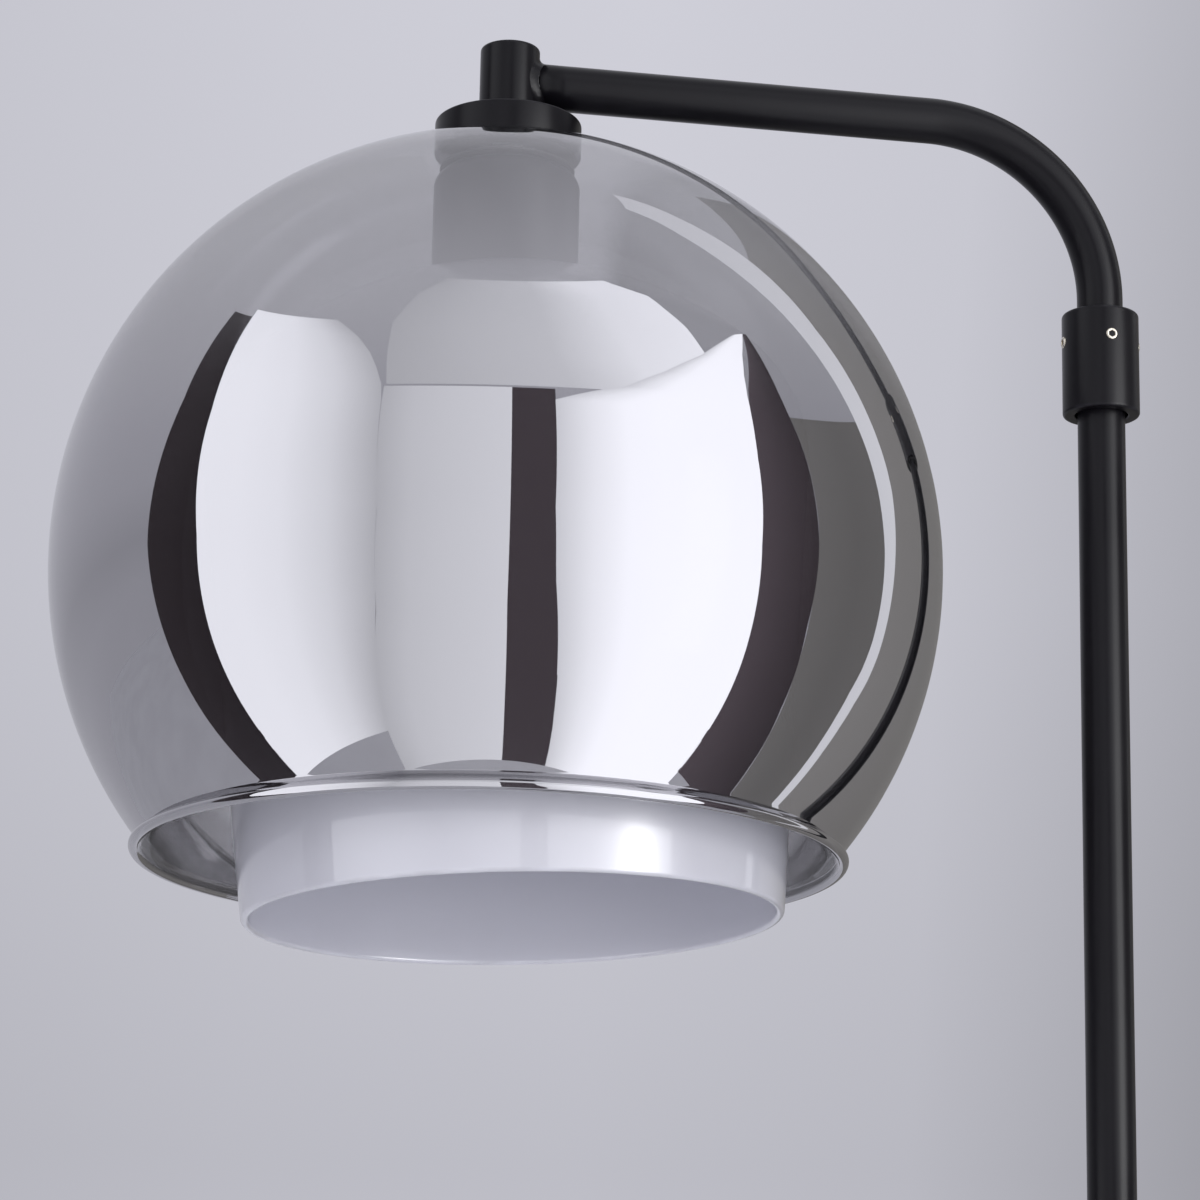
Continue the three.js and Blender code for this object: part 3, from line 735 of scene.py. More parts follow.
class LAMP_OT_collar(bpy.types.Operator):
    """Collar with softly broken edges and two bores, one for the arm and one for the pole"""

    bl_idname = "lamp.collar"
    bl_label = "Collar"

    def execute(self, context):
        collar = Place("arm_collar")
        low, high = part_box("arm_tube")
        arm = (high.y - low.y) / 2 + SEAT_GAP
        pole = Place("pole_upper")
        bore = pole.radius + 0.0009
        step = pole.high + SEAT_GAP
        corners = [
            (bore, collar.low), (collar.radius, collar.low), (collar.radius, collar.high),
            (arm, collar.high), (arm, step), (bore, step),
        ]
        profile = rounded(corners, [0.0007, 0.0011, 0.0011, 0.0004, 0.0001, 0.0001])
        add_coated("collar_body", profile, collar)
        return {"FINISHED"}


class LAMP_OT_grub_screws(bpy.types.Operator):
    """Four nickel grub screws with hexagon sockets, two along X and two along Y"""

    bl_idname = "lamp.grub_screws"
    bl_label = "Grub Screws"

    def execute(self, context):
        s = sizes()
        facets = 48
        angle = np.arange(facets) * TURN / facets
        hexagon = s.socket_flats / 2 / np.cos((angle + np.pi / 6) % (np.pi / 3) - np.pi / 6)
        for number in range(1, 5):
            low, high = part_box(f"grub_screw_{number}")
            centre = (np.array(low) + np.array(high)) / 2
            lengthwise = int(np.argmax(np.array(high) - np.array(low)))
            outward = np.sign(centre[lengthwise])
            half = (high[lengthwise] - low[lengthwise]) / 2
            radius = (high.z - low.z) / 2
            floor = half - s.socket_depth
            # (share of the outer circle, share of the hexagon, distance along the screw)
            rows = np.array([
                (0.0, 0.0, -half), (0.6, 0, -half), (0.92, 0, -half + 0.0002),
                (1.0, 0, -half + 0.0005), (1.0, 0, half - 0.00055), (0.985, 0, half - 0.0003),
                (0.93, 0, half - 0.00008), (0.86, 0, half), (0, 1.14, half),
                (0, 1.05, half - 0.00005), (0, 1.0, half - 0.0002), (0, 1.0, floor),
                (0, 0.3, floor - 0.0004), (0, 0, floor - 0.0005),
            ])
            reach = rows[:, :1] * radius + rows[:, 1:2] * hexagon
            along = np.broadcast_to(rows[:, 2:], reach.shape)
            points = np.zeros((len(rows), facets, 3))
            sideways = 1 - lengthwise
            points[..., lengthwise] = centre[lengthwise] + outward * along
            points[..., sideways] = centre[sideways] + reach * np.cos(angle)
            points[..., 2] = centre[2] + reach * np.sin(angle)
            inside = (rows[:, 1] > 0.2).astype(float) * (rows[:, 2] < half - 0.0001)
            label, node = f"hex_screw_{number}", f"grub_screw_{number}"
            mesh = grid_mesh(label, points, marks={"socket": inside[:, None]})
            piece = add_piece(label, mesh, bright_nickel(), "stand", [node])
            self.paint_socket_shade(piece.data)
        return {"FINISHED"}

    @staticmethod
    def paint_socket_shade(mesh):
        """Gives the painted socket shade to the faces whose corners all lie in the socket."""
        mesh.materials.append(socket_painted_shade())
        marks = np.zeros(len(mesh.vertices), np.float32)
        mesh.attributes["socket"].data.foreach_get("value", marks)
        corners = np.zeros(len(mesh.loops), np.int32)
        mesh.loops.foreach_get("vertex_index", corners)
        starts = np.zeros(len(mesh.polygons), np.int32)
        mesh.polygons.foreach_get("loop_start", starts)
        slots = (np.minimum.reduceat(marks[corners], starts) > 0.5).astype(np.int32)
        mesh.polygons.foreach_set("material_index", slots)


def arm_line(low, high):
    """Centreline of the arm as rows of (x, z, tangent x, tangent z), its radius and its level.

    Straight from the hub, a quarter circle C + R*(sin q, cos q), then straight down.
    """
    radius = (high.y - low.y) / 2
    level = high.z - radius
    bend = ARM_BEND
    q = np.linspace(0, np.pi / 2, 49)[:, None]
    along = np.linspace(low.x, -bend, 16)[:-1, None]
    down = np.linspace(level - bend, low.z, 8)[1:, None]
    one, none = np.ones_like, np.zeros_like
    run = np.hstack([along, level + none(along), one(along), none(along)])
    turn = np.hstack([
        -bend + bend * np.sin(q), level - bend + bend * np.cos(q), np.cos(q), -np.sin(q)
    ])
    drop = np.hstack([none(down), down, none(down), -one(down)])
    return np.vstack([run, turn, drop]), radius, level


class LAMP_OT_arm(bpy.types.Operator):
    """Bent tube of the arm and the weld that joins it to the hub"""

    bl_idname = "lamp.arm"
    bl_label = "Arm"

    def execute(self, context):
        line, radius, level = arm_line(*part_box("arm_tube"))
        facets = 96
        angle = np.arange(facets) * TURN / facets
        outer = self.ring(line, radius, angle)
        inner = self.ring(line, radius - TUBE_WALL, angle)[::-1]
        mesh = grid_mesh("arm_pipe", np.vstack([outer, inner]), close_rows=True)
        powder = satin_powder_coat()
        add_piece("arm_pipe", mesh, powder, "arm", ["arm_tube"])
        self.weld(Place("head_hub"), radius, level, sizes().weld_reach, powder)
        return {"FINISHED"}

    @staticmethod
    def ring(line, radius, angle):
        """P(i, a) = C_i + R*(cos a * N_i + sin a * Y), with N_i square to the line in XZ."""
        x = line[:, 0:1] + radius * np.cos(angle) * -line[:, 3:4]
        z = line[:, 1:2] + radius * np.cos(angle) * line[:, 2:3]
        y = np.broadcast_to(radius * np.sin(angle), x.shape)
        return np.stack([x, y, z], axis=-1)

    @staticmethod
    def weld(hub, radius, level, reach, material):
        """Concave bead between tube and hub.

        At angle a round the tube the seam lies at K = (hub axis + sqrt(H^2 - y^2), y, z). The
        bead runs (1-t)^2 A + 2t(1-t) K + t^2 B, from A on the hub to B on the tube, and a small
        ripple lifts it as the passes of a weld do.
        """
        facets = 144
        a = np.arange(facets) * TURN / facets
        t = np.linspace(0, 1, 13)[:, None]
        ripple = 1 + 0.03 * np.sin(26 * a) + 0.05 * np.sin(5 * a + 1.3)
        grown = radius + reach * ripple
        seam_y, seam_z = radius * np.sin(a), radius * np.cos(a)
        far_y, far_z = grown * np.sin(a), grown * np.cos(a)
        sink = 0.00005
        hub_radius = hub.radius - sink
        side_limit = 0.985 * hub_radius
        far_y = np.clip(far_y, -side_limit, side_limit)
        seam_x = hub.x + np.sqrt(hub_radius**2 - np.minimum(seam_y**2, hub_radius**2))
        hub_x = hub.x + np.sqrt(hub_radius**2 - far_y**2)
        tube_x = seam_x + reach * 1.1 * ripple
        # The tube's end of the bead sinks a little, so that no gap shows
        tube_y, tube_z = 0.997 * seam_y, 0.997 * seam_z
        points = np.stack([
            quadratic(t, hub_x, seam_x, tube_x),
            quadratic(t, far_y, seam_y, tube_y),
            level + quadratic(t, far_z, seam_z, tube_z),
        ], axis=-1)
        centre = np.array([hub.x + hub.radius, 0, level])
        under = centre + (points[::-1] - centre) * 0.93
        mesh = grid_mesh("arm_weld", np.vstack([points, under]), close_rows=True)
        add_piece("arm_weld", mesh, material, "arm")


class LAMP_OT_hub(bpy.types.Operator):
    """Turned hub with a closed, softly rounded top"""

    bl_idname = "lamp.hub"
    bl_label = "Hub"

    def execute(self, context):
        hub = Place("head_hub")
        roof = hub.high - 0.0025
        corners = [
            (NIPPLE_HOLE, hub.low), (hub.radius, hub.low), (hub.radius, hub.high),
            (0, hub.high), (0, roof), (NIPPLE_HOLE, roof),
        ]
        profile = rounded(corners, [0.0002, 0.0003, 0.0012, 0, 0, 0.0003], steps=8)
        add_coated("hub_body", profile, hub, "arm")
        return {"FINISHED"}


class LAMP_OT_cap(bpy.types.Operator):
    """Turned cap that holds the globe down, and the gaskets above and below its neck"""

    bl_idname = "lamp.cap"
    bl_label = "Cap"

    def execute(self, context):
        cap = Place("shade_cap")
        inner = 0.0165
        roof = cap.high - 0.0016
        corners = [
            (NIPPLE_HOLE, roof), (inner, roof), (inner, cap.low),
            (cap.radius, cap.low), (cap.radius, cap.high), (NIPPLE_HOLE, cap.high),
        ]
        profile = rounded(corners, [0.0003, 0.0003, 0.0003, 0.0007, sizes().edge, 0.0003])
        add_coated("cap_body", profile, cap, "arm")
        for label, node in (("gasket_above", "upper_gasket"), ("gasket_below", "lower_gasket")):
            seal = Place(node)
            profile = sleeve_profile(seal.radius, inner, seal.low, seal.high, 0.0004)
            add_turned(label, profile, seal, matt_rubber(), "rubber", "arm")
        return {"FINISHED"}


class LAMP_OT_globe(bpy.types.Operator):
    """Blown outer globe: flat neck, spherical wall and a flared, beaded lip"""

    bl_idname = "lamp.globe"
    bl_label = "Outer Globe"

    def execute(self, context):
        s = sizes()
        globe = Place("outer_shade")
        neck = Place("shade_cap").radius + s.globe_neck_margin
        radius = globe.radius
        middle = globe.high - np.sqrt(radius**2 - neck**2)
        hole = 0.017
        lip_top = globe.low + s.globe_lip
        outside = self.wall(radius, middle, neck, lip_top)
        inside = self.wall(radius - s.globe_wall, middle, neck, lip_top)
        foot, inner_foot = outside[-1], inside[-1]
        # The lip swings out from the wall and closes in a round bead
        bead = s.globe_wall * 0.62
        centre = np.array([foot[0] + s.globe_flare - bead, globe.low + bead])
        round_bead = arc(centre, bead, np.radians(62), np.radians(-150), 18)
        t = np.linspace(0, 1, 8)[1:-1, None]
        knee = foot + np.array([-0.0006, -0.0006])
        inner_knee = inner_foot + np.array([-0.0006, -0.0012])
        out_curve = quadratic(t, foot, knee, round_bead[0])
        in_curve = quadratic(t, round_bead[-1], inner_knee, inner_foot)
        top, under = [(hole, outside[0][1])], [(hole, inside[0][1])]
        profile = np.vstack([top, outside, out_curve, round_bead, in_curve, inside[::-1], under])
        coat = np.ones(len(profile))
        bare_share = 0.16
        coat[-len(inside) - len(in_curve) - 1:] = bare_share
        add_turned(
            "smoked_globe", profile, globe, smoked_mirror_glass(), "smoked_mirror_glass", "arm",
            facets=160, marks={"coat": coat[:, None]},
        )
        return {"FINISHED"}

    @staticmethod
    def wall(radius, middle, neck, foot_level):
        """Sphere section (R cos q, m + R sin q), from the neck down to the lip."""
        start = np.arccos(neck / radius)
        end = np.arcsin((foot_level - middle) / radius)
        return arc((0, middle), radius, start, end, 88)


class LAMP_OT_cup(bpy.types.Operator):
    """Lampholder cup, a drawn shell with a rounded shoulder"""

    bl_idname = "lamp.cup"
    bl_label = "Lampholder Cup"

    def execute(self, context):
        cup = Place("lampholder_cup")
        wall, shoulder = TUBE_WALL, 0.006
        centre = (cup.radius - shoulder, cup.high - shoulder)
        outer = arc(centre, shoulder, 0, np.pi / 2, 12)
        inner = arc(centre, shoulder - wall, np.pi / 2, 0, 12)
        lip = arc((cup.radius - wall / 2, cup.low + wall / 2), wall / 2, -np.pi, 0, 8)
        top = [(NIPPLE_HOLE, cup.high), (NIPPLE_HOLE, cup.high - wall)]
        add_coated("cup_shell", np.vstack([lip, outer, top, inner]), cup, "arm")
        return {"FINISHED"}


class LAMP_OT_opal_shade(bpy.types.Operator):
    """Opal inner shade: flat neck, domed crown, tangent shoulder and tapering drum"""

    bl_idname = "lamp.opal_shade"
    bl_label = "Opal Shade"

    def execute(self, context):
        s = sizes()
        box_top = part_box("inner_shade")[1].z
        top = box_top - s.opal_neck * np.sin(s.opal_hang)
        axis = Place("head_hub").axis
        crown_centre = top - np.sqrt(s.opal_crown**2 - s.opal_neck**2)
        outside = self.wall(0, top, crown_centre)
        inside = self.wall(s.opal_wall, top, crown_centre)
        foot, inner_foot = outside[-1], inside[-1]
        half = (foot - inner_foot) / 2
        centre = (foot + inner_foot) / 2 + np.array([0, half[0]])
        q = np.linspace(0, np.pi, 12)[1:-1, None]
        edge = centre + half[0] * np.hstack([np.cos(q), -np.sin(q)])
        outside[-1, 1] += half[0]
        inside[-1, 1] += half[0]
        profile = np.vstack([outside, edge, inside[::-1]])
        sine, cosine = np.sin(s.opal_hang), np.cos(s.opal_hang)

        def hang(points):
            """Turns the shade about the Y line through its neck, so its mouth moves to +X."""
            x, z = points[..., 0] - axis[0], points[..., 2] - top
            return np.stack([
                axis[0] + x * cosine - z * sine, points[..., 1], top + z * cosine + x * sine
            ], axis=-1)

        mesh = turned("opal_drum", profile, axis, 160, along=hang)
        add_piece("opal_drum", mesh, opal_glass(), "arm", ["inner_shade"])
        return {"FINISHED"}

    @staticmethod
    def wall(offset, top, crown_centre):
        """Neck, crown arc, shoulder arc tangent to it and straight drum, all offset inwards."""
        s = sizes()
        crown = s.opal_crown - offset
        reach = s.opal_waist - s.opal_shoulder
        gap = s.opal_crown - s.opal_shoulder
        meet = np.arccos(reach / gap)
        shoulder_centre = (reach, crown_centre + gap * np.sin(meet))
        first = arc((0, crown_centre), crown, np.arccos(s.opal_neck / crown), meet, 24)
        second = arc(shoulder_centre, s.opal_shoulder - offset, meet, 0, 24)[1:]
        mouth = np.array([s.opal_mouth - offset, top - s.opal_height])
        drum = second[-1] + np.linspace(0, 1, 25)[1:, None] * (mouth - second[-1])
        hole = np.array([(0.0201, first[0][1])])
        return np.vstack([hole, first, second, drum])


class LAMP_OT_lampholder(bpy.types.Operator):
    """Lampholder body and the ribbed ring that clamps the opal shade"""

    bl_idname = "lamp.lampholder"
    bl_label = "Lampholder"

    def execute(self, context):
        body = Place("lampholder_body")
        flange, side, top, bore, wire_hole = body.radius, 0.0194, 0.0140, 0.0149, 0.002
        flange_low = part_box("inner_shade")[1].z + SEAT_GAP
        flange_high = flange_low + 0.0024
        cavity = body.low + 0.040
        roof = cavity + 0.002
        corners = [
            (NIPPLE_HOLE, body.high), (top, body.high), (side, body.high - (side - top)),
            (side, flange_high), (flange, flange_high), (flange, flange_low),
            (side, flange_low), (side, body.low), (bore, body.low), (bore, cavity),
            (wire_hole, cavity), (wire_hole, roof), (NIPPLE_HOLE, roof),
        ]
        profile = rounded(corners, 0.0005, steps=4)
        holder = black_thermoset()
        add_turned("holder_body", profile, body, holder, "holder_plastic", "arm")
        ring = Place("shade_ring")
        inner = side + 0.00025
        skirt = inner + 0.002
        rim_low = ring.high - 0.002
        corners = [
            (inner, ring.low), (skirt, ring.low), (skirt, rim_low),
            (ring.radius, rim_low), (ring.radius, ring.high), (inner, ring.high),
        ]
        profile = rounded(corners, 0.0004, steps=4)

        def ribs(outline, angle):
            """Grip ribs: 1 - d*(1 + cos 36a)/2 on the ring's outer rim and 1 elsewhere."""
            rim = np.clip((outline[:, :1] - ring.radius + 0.0008) / 0.0006, 0, 1)
            return 1 - rim * 0.02 * (1 + np.cos(36 * angle)) / 2

        add_turned(
            "ribbed_ring", profile, ring, holder, "holder_plastic", "arm", facets=216, sway=ribs
        )
        return {"FINISHED"}


class LAMP_OT_bulb(bpy.types.Operator):
    """Bulb: threaded cap, ribbed housing and a frosted diffuser"""

    bl_idname = "lamp.bulb"
    bl_label = "Bulb"

    def execute(self, context):
        s = sizes()
        cap = Place("bulb_cap")
        levels = np.linspace(cap.low, cap.high - 0.0031, 90)
        root = cap.radius - s.thread_depth
        side = np.stack([np.full_like(levels, cap.radius), levels], axis=1)
        cone = [(cap.radius - 0.002, cap.high - 0.0022), (0.0062, cap.high), (0, cap.high)]
        profile = np.vstack([[(0, cap.low)], side, cone])
        # The thread dies away over its last 3 mm at either end
        run_out = 0.003
        from_end = np.minimum(levels - cap.low, levels[-1] - levels)
        threaded = np.r_[0, np.clip(from_end / run_out, 0, 1), np.zeros(len(cone))]

        def thread(outline, angle):
            """Helical thread: the radius falls by d*(1 - cos(2 pi z / pitch - a))/2."""
            phase = TURN * outline[:, 1:] / s.thread_pitch - angle
            fall = (1 - root / cap.radius) * (1 - np.cos(phase)) / 2
            return 1 - threaded[:, None] * fall

        add_turned(
            "threaded_cap", profile, cap, bright_nickel(), "nickel", "bulb",
            facets=96, sway=thread,
        )
        housing = Place("bulb_housing")
        neck = 0.0133
        shaft = housing.high - 0.009
        corners = [
            (0, housing.low), (housing.radius, housing.low),
            (housing.radius - 0.002, housing.low + 0.008), (neck + 0.003, shaft - 0.003),
            (neck, shaft), (neck, housing.high), (0, housing.high),
        ]
        profile = rounded(corners, [0, 0.0006, 0.006, 0.006, 0.002, 0.0004, 0], steps=8)

        def fins(outline, angle):
            """Shallow cooling flutes: 1 - d*(1 + cos 24a)/2 over the tapered part."""
            lower = np.clip((outline[:, 1:] - housing.low - 0.006) / 0.004, 0, 1)
            upper = np.clip((shaft - 0.004 - outline[:, 1:]) / 0.004, 0, 1)
            outer = outline[:, :1] > neck
            return 1 - outer * lower * upper * 0.03 * (1 + np.cos(24 * angle)) / 2

        white = frosted_plastic()
        add_turned(
            "fluted_housing", profile, housing, white, "bulb_plastic", "bulb",
            facets=192, sway=fins,
        )
        bowl = Place("bulb_diffuser")
        centre = (0, bowl.low + bowl.radius)
        brim = housing.radius
        outer = arc(centre, bowl.radius, -np.pi / 2, 0, 32)
        inner = arc(centre, bowl.radius - TUBE_WALL, 0, -np.pi / 2, 32)
        profile = np.vstack([outer, [(brim, bowl.high), (brim - TUBE_WALL, bowl.high)], inner])
        add_turned("frosted_bowl", profile, bowl, white, "bulb_plastic", "bulb", facets=128)
        return {"FINISHED"}


class LAMP_OT_hidden_parts(bpy.types.Operator):
    """Finishes of the weight, nuts, washers, inserts and contacts that keep their frame shape"""

    bl_idname = "lamp.hidden_parts"
    bl_label = "Hidden Parts"

    def execute(self, context):
        finishes = {"base_weight": cast_iron()}
        finishes.update(dict.fromkeys((
            "base_stud", "base_washer", "base_nut", "pole_foot_insert", "pole_insert_lower",
            "pole_insert_upper", "threaded_nipple", "cup_washer", "cup_nut",
        ), zinc_plate()))
        finishes.update(dict.fromkeys((
            "lampholder_contact", "lampholder_shell", "bulb_contact",
        ), drawn_brass()))
        for name, material in finishes.items():
            for held in NODES[name].material_slots:
                held.material = material
        left = [n for n, o in NODES.items() if not o.hide_render and n not in finishes]
        if left:
            raise RuntimeError(f"these nodes have no finish: {left}")
        return {"FINISHED"}


# ---------------------------------------------------------------------------
# Studio
# ---------------------------------------------------------------------------


def glow(name, tint, strength):
    """Plain light-giving material for a card, fading across it by the card's share."""
    material = bpy.data.materials.new(name)
    material.use_nodes = True
    tree = material.node_tree
    tree.nodes.remove(tree.nodes["Principled BSDF"])
    shader = add_node(tree, "ShaderNodeEmission")
    share = add_node(tree, "ShaderNodeAttribute", attribute_name="share")
    light = add_node(tree, "ShaderNodeMath", {1: strength}, operation="MULTIPLY")
    shader.inputs["Color"].default_value = (*tint, 1)
    wire(
        tree,
        (share.outputs["Fac"], light.inputs[0]),
        (light.outputs["Value"], shader.inputs["Strength"]),
        (shader.outputs["Emission"], tree.nodes["Material Output"].inputs["Surface"]),
    )
    return material


def grade(tree, source, stops):
    """Colour over a value, through stops of (position, colour) in rising order."""
    ramp = add_node(tree, "ShaderNodeValToRGB")
    elements = ramp.color_ramp.elements
    for position, _ in stops[1:-1]:
        elements.new(position)
    for element, (position, tint) in zip(elements, stops):
        element.position, element.color = position, (*tint, 1)
    wire(tree, (source, ramp.inputs["Fac"]))
    return ramp.outputs["Color"]


def soft_light(scene, label, power, place, aim, size):
    """Rectangular soft light that stands at a place, faces a point and isn't seen itself."""
    data = bpy.data.lights.new(label, "AREA")
    data.shape = "RECTANGLE"
    data.size, data.size_y = size
    data.energy = power
    light = bpy.data.objects.new(label, data)
    scene.collection.objects.link(light)
    place = Vector(place)
    turn = (Vector(aim) - place).to_track_quat("-Z", "Y").to_matrix().to_4x4()
    light.matrix_world = Matrix.Translation(place) @ turn
    light.visible_camera = False
    return light


# Each card: its tint, its share of the flats' light from its left side to its right, and its
# outline in degrees seen from the globe, as rows of (height, left bearing, right bearing). A
# bearing of 0 faces -Y and grows towards +X.
WHITE = (0.98, 0.99, 1.04)
PLUM = (0.86, 0.70, 0.80)
WARM_GREY = (1.0, 0.97, 0.95)
CARDS = {
    "flat_left": (WHITE, (0.87, 0.87, 0.83, 0.70, 0.46), [
        (-50, -89, -46), (-20, -87.4, -39), (3, -85.6, -37), (27, -87.3, -38.5),
        (32, -88.5, -39.7), (41, -91, -47), (46.5, -92.8, -60),
    ]),
    "flat_middle": (WHITE, (0.46, 0.56, 0.60, 0.63, 0.66), [
        (-60, -47, -4), (-47, -46, -4.7), (-22, -39.2, -5.6), (2, -37, -5.7), (30, -38.5, -5.8),
    ]),
    "flat_right": (WHITE, (0.64, 0.88, 1.04, 1.06, 1.06, 1.06, 1.06), [
        (-60, 15, 67), (-46, 11.7, 64.9), (-32, 9, 62.8), (-15, 6, 60.1), (1, 4.9, 58),
        (20, 5, 57.5), (30.6, 5, 59), (31, 22, 59.2), (35, 33, 60.5), (41, 52, 65), (44.7, 66, 70),
    ]),
    "pale_ceiling": (WHITE, (0.42, 0.50, 0.56, 0.82, 0.90), [
        (30.5, -38, 58), (38, -40, 52), (47, -42, 50), (55, -38, 44), (60, -30, 30),
    ]),
    "dark_gap": (PLUM, (0.058, 0.058), [
        (-60, -4.2, 15.2), (-46, -4.8, 11.8), (-22, -5.7, 7.4), (2, -5.8, 5.0), (30, -5.9, 5.1),
    ]),
    "dark_post_left": (PLUM, (0.028, 0.022), [
        (-52, -102, -88.9), (-20, -101.9, -87.3), (5, -102.7, -85.5), (28, -99.4, -87.2),
        (45, -101.8, -92.7),
    ]),
    "dark_post_right": (PLUM, (0.085, 0.060, 0.04), [
        (-48, 64.8, 92), (-39, 63.6, 86.7), (-25, 61.5, 80.8), (-10, 59.2, 76.8),
        (5, 57.8, 76), (20, 57.4, 73.7), (31, 59, 71), (44.6, 70, 71.3),
    ]),
    "light_strip": (WHITE, (0.60, 0.60), [
        (-34, 104, 107), (-28, 102, 105.3), (-21, 101, 104.4), (-13.6, 100.6, 104.5),
        (-7.7, 102, 106.2), (-2.7, 102.6, 107), (9, 102.6, 107.8), (20, 101.3, 109.3),
        (29, 99.4, 108), (41, 96.8, 107), (53, 95, 110), (62, 95.3, 112), (72, 102.9, 120),
    ]),
    "grey_curtain": (WARM_GREY, (0.13, 0.11, 0.115), [
        (-45, 90, 106), (-30, 83, 104.5), (-17, 78.5, 103), (-3, 76.2, 105), (8, 75.8, 105),
        (20, 73.8, 105), (28, 71.8, 104),
    ]),
    "grey_door": (WARM_GREY, (0.19, 0.16, 0.12, 0.10), [
        (-45, 106, 168), (-28, 103.5, 168), (-15, 102.5, 166), (-2, 105, 164), (10, 105, 162),
        (20, 105, 160), (29, 104, 158), (41, 102, 150), (53, 103, 140),
    ]),
}


class LAMP_OT_studio(bpy.types.Operator):
    """Plain room: pale floor, soft wall and ceiling light, plain cards round the globe, camera"""

    bl_idname = "lamp.studio"
    bl_label = "Studio"

    def execute(self, context):
        settings = context.scene.lamp_studio
        context.scene.view_settings.view_transform = "Standard"
        self.floor(settings)
        self.room(context.scene, settings)
        self.cards(settings)
        self.key_light(context.scene, settings)
        self.fill_light(context.scene, settings)
        self.camera(context.scene, settings)
        return {"FINISHED"}

    @staticmethod
    def floor(settings):
        """Square floor, half a millimetre under the pad, in a grid of plain quads."""
        span = np.linspace(-8, 8, 9)
        x, y = np.meshgrid(span, span)
        points = np.stack([x, y, np.full_like(x, -0.0005)], axis=-1)
        mesh = grid_mesh("floor", points, close_columns=False)
        floor = bpy.data.objects.new("floor", mesh)
        bpy.context.scene.collection.objects.link(floor)
        finish = Finish("pale_floor", Metallic=0.0, Specular_IOR_Level=0.0)
        tint = tuple(settings.floor)
        finish.paint(finish.blend(finish.marks(1.5, 0, 1), shade(tint, 0.97), shade(tint, 1.03)))
        finish.rough(3, 0.55, 0.7)
        floor.data.materials.append(finish.material)

    @staticmethod
    def room(scene, settings):
        """Soft light from all round: the wall's tint at eye level, the ceiling's above."""
        world = bpy.data.worlds.new("room")
        scene.world = world
        world.use_nodes = True
        tree = world.node_tree
        place = add_node(tree, "ShaderNodeTexCoord")
        split = add_node(tree, "ShaderNodeSeparateXYZ")
        wall = tuple(settings.wall)
        heights = grade(tree, split.outputs["Z"], (
            (0.0, shade(wall, 0.95)), (0.12, shade(wall, 0.86)), (0.26, wall),
            (0.42, shade(wall, 1.06)), (0.8, tuple(settings.ceiling)),
        ))
        # The wall falls off to either side of the lamp
        sides = grade(tree, split.outputs["X"], [(place_x, (share,) * 3) for place_x, share in (
            (0.0, 0.93), (0.09, 1.0), (0.17, 1.03), (0.25, 0.97), (0.32, 0.70), (0.6, 0.8),
        )])
        both = add_node(
            tree, "ShaderNodeMix", {"Factor": 1}, data_type="RGBA", blend_type="MULTIPLY"
        )
        wire(
            tree,
            (place.outputs["Generated"], split.inputs["Vector"]),
            (heights, both.inputs[6]),
            (sides, both.inputs[7]),
            (both.outputs[2], tree.nodes["Background"].inputs["Color"]),
        )

    @staticmethod
    def cards(settings):
        """Curved cards on a sphere of radius D round the globe.

        P = C + d*(cos e sin b, -cos e cos b, sin e), with height e and bearing b. The distance d
        is D, or shorter where the ray meets the floor.
        """
        globe = Place("outer_shade")
        centre = np.array([globe.x, globe.y, globe.high - globe.radius])
        for layer, (label, (tint, shares, rows)) in enumerate(CARDS.items()):
            rows = np.array(rows, float)
            height = np.linspace(rows[0, 0], rows[-1, 0], 25)
            left = np.radians(np.interp(height, rows[:, 0], rows[:, 1]))[:, None]
            right = np.radians(np.interp(height, rows[:, 0], rows[:, 2]))[:, None]
            across = np.linspace(0, 1, 25)
            bearing = left + (right - left) * across
            e = np.radians(height)[:, None]
            ray = np.stack([
                np.cos(e) * np.sin(bearing), -np.cos(e) * np.cos(bearing),
                np.broadcast_to(np.sin(e), bearing.shape),
            ], axis=-1)
            to_floor = (centre[2] - 0.002) / np.maximum(-ray[..., 2:], 1e-6)
            reach = settings.card_reach + 0.01 * layer
            points = centre + np.minimum(reach, to_floor) * ray
            light = np.interp(across, np.linspace(0, 1, len(shares)), shares)
            mesh = grid_mesh(label, points, close_columns=False, marks={"share": light})
            card = bpy.data.objects.new(label, mesh)
            bpy.context.scene.collection.objects.link(card)
            card.data.materials.append(glow(label, tint, settings.flat_light))
            card.visible_camera = False
            card.visible_shadow = False
            card.visible_diffuse = False

    @staticmethod
    def key_light(scene, settings):
        """Tall soft light behind the right-hand flat, for a highlight down the dark tubes."""
        light = soft_light(
            scene, "tall_softbox", settings.key_power,
            place=(1.67, -1.99, 1.15), aim=(0, 0, 1.15), size=(0.56, 2.2),
        )
        light.visible_diffuse = False

    @staticmethod
    def fill_light(scene, settings):
        """Wide soft light from the front that brightens the opal glass and isn't mirrored."""
        light = soft_light(
            scene, "wide_fill", settings.fill_power,
            place=(0.42, -2.35, 1.2), aim=(-0.2, 0, 1.3), size=(2.4, 1.3),
        )
        light.visible_glossy = False

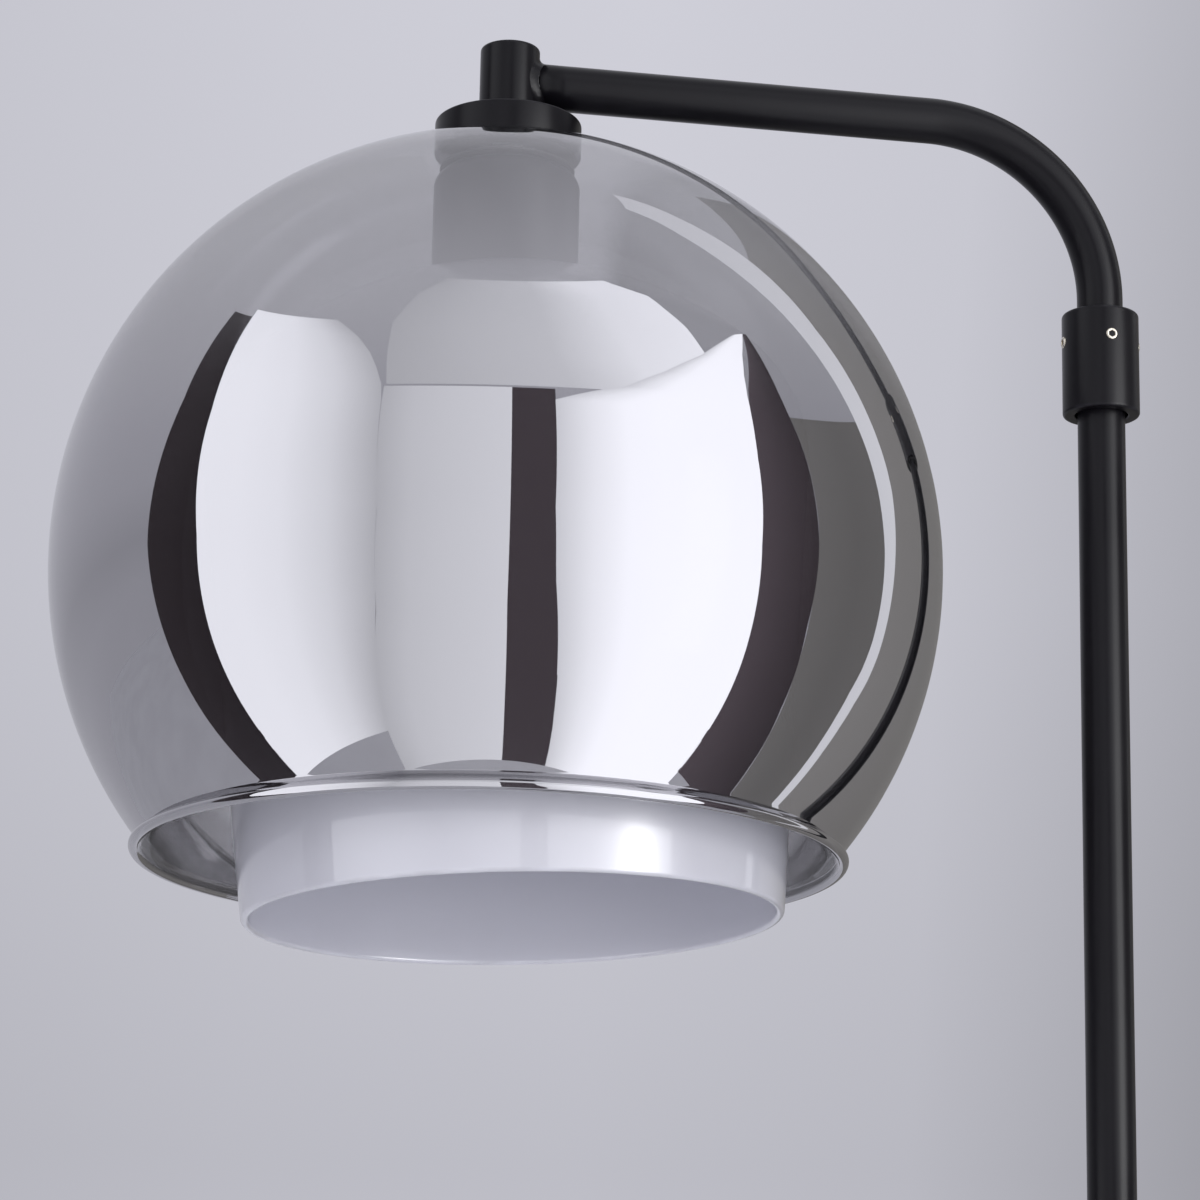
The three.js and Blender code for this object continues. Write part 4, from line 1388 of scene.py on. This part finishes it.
    @staticmethod
    def camera(scene, settings):
        """Long lens low in front of the lamp, looking up at the globe."""
        yaw, pitch, roll = settings.camera_yaw, settings.camera_pitch, settings.camera_roll
        ahead = np.array([
            np.sin(yaw) * np.cos(pitch), np.cos(yaw) * np.cos(pitch), np.sin(pitch)
        ])
        right = np.array([np.cos(yaw), -np.sin(yaw), 0])
        up = np.cross(right, ahead)
        across = right * np.cos(roll) + up * np.sin(roll)
        upward = up * np.cos(roll) - right * np.sin(roll)
        turn = np.column_stack([across, upward, -ahead])
        data = bpy.data.cameras.new("camera")
        data.lens = settings.lens
        data.sensor_width = 36
        data.clip_start = 0.05
        data.clip_end = 60
        camera = bpy.data.objects.new("camera", data)
        scene.collection.objects.link(camera)
        place = Matrix.Translation(settings.camera_place)
        camera.matrix_world = place @ Matrix(turn.tolist()).to_4x4()
        scene.camera = camera


# ---------------------------------------------------------------------------
# Add-on
# ---------------------------------------------------------------------------


OPERATORS = (
    LAMP_OT_studio,
    LAMP_OT_base,
    LAMP_OT_grommet,
    LAMP_OT_pole,
    LAMP_OT_collar,
    LAMP_OT_grub_screws,
    LAMP_OT_arm,
    LAMP_OT_hub,
    LAMP_OT_cap,
    LAMP_OT_globe,
    LAMP_OT_cup,
    LAMP_OT_opal_shade,
    LAMP_OT_lampholder,
    LAMP_OT_bulb,
    LAMP_OT_hidden_parts,
)
SETTINGS = {
    "lamp_sizes": LampSizes,
    "lamp_colours": LampColours,
    "lamp_studio": StudioSettings,
}


class LAMP_PT_panel(bpy.types.Panel):
    """Lists the lamp's operators and settings in the sidebar"""

    bl_idname = "LAMP_PT_panel"
    bl_label = "Floor Lamp"
    bl_space_type = "VIEW_3D"
    bl_region_type = "UI"
    bl_category = "Floor Lamp"

    def draw(self, context):
        for operator in OPERATORS:
            self.layout.operator(operator.bl_idname)
        for label, group in SETTINGS.items():
            box = self.layout.box()
            box.label(text=group.__name__)
            for setting in group.__annotations__:
                box.prop(getattr(context.scene, label), setting)


def register():
    for item in (*SETTINGS.values(), *OPERATORS, LAMP_PT_panel):
        bpy.utils.register_class(item)
    for label, group in SETTINGS.items():
        setattr(bpy.types.Scene, label, PointerProperty(type=group))


def unregister():
    for label in SETTINGS:
        delattr(bpy.types.Scene, label)
    for item in (LAMP_PT_panel, *reversed(OPERATORS), *SETTINGS.values()):
        bpy.utils.unregister_class(item)


def main():
    """Builds the studio and every piece in order."""
    register()
    for operator in OPERATORS:
        group, name = operator.bl_idname.split(".")
        getattr(getattr(bpy.ops, group), name)()


if __name__ == "__main__":
    main()
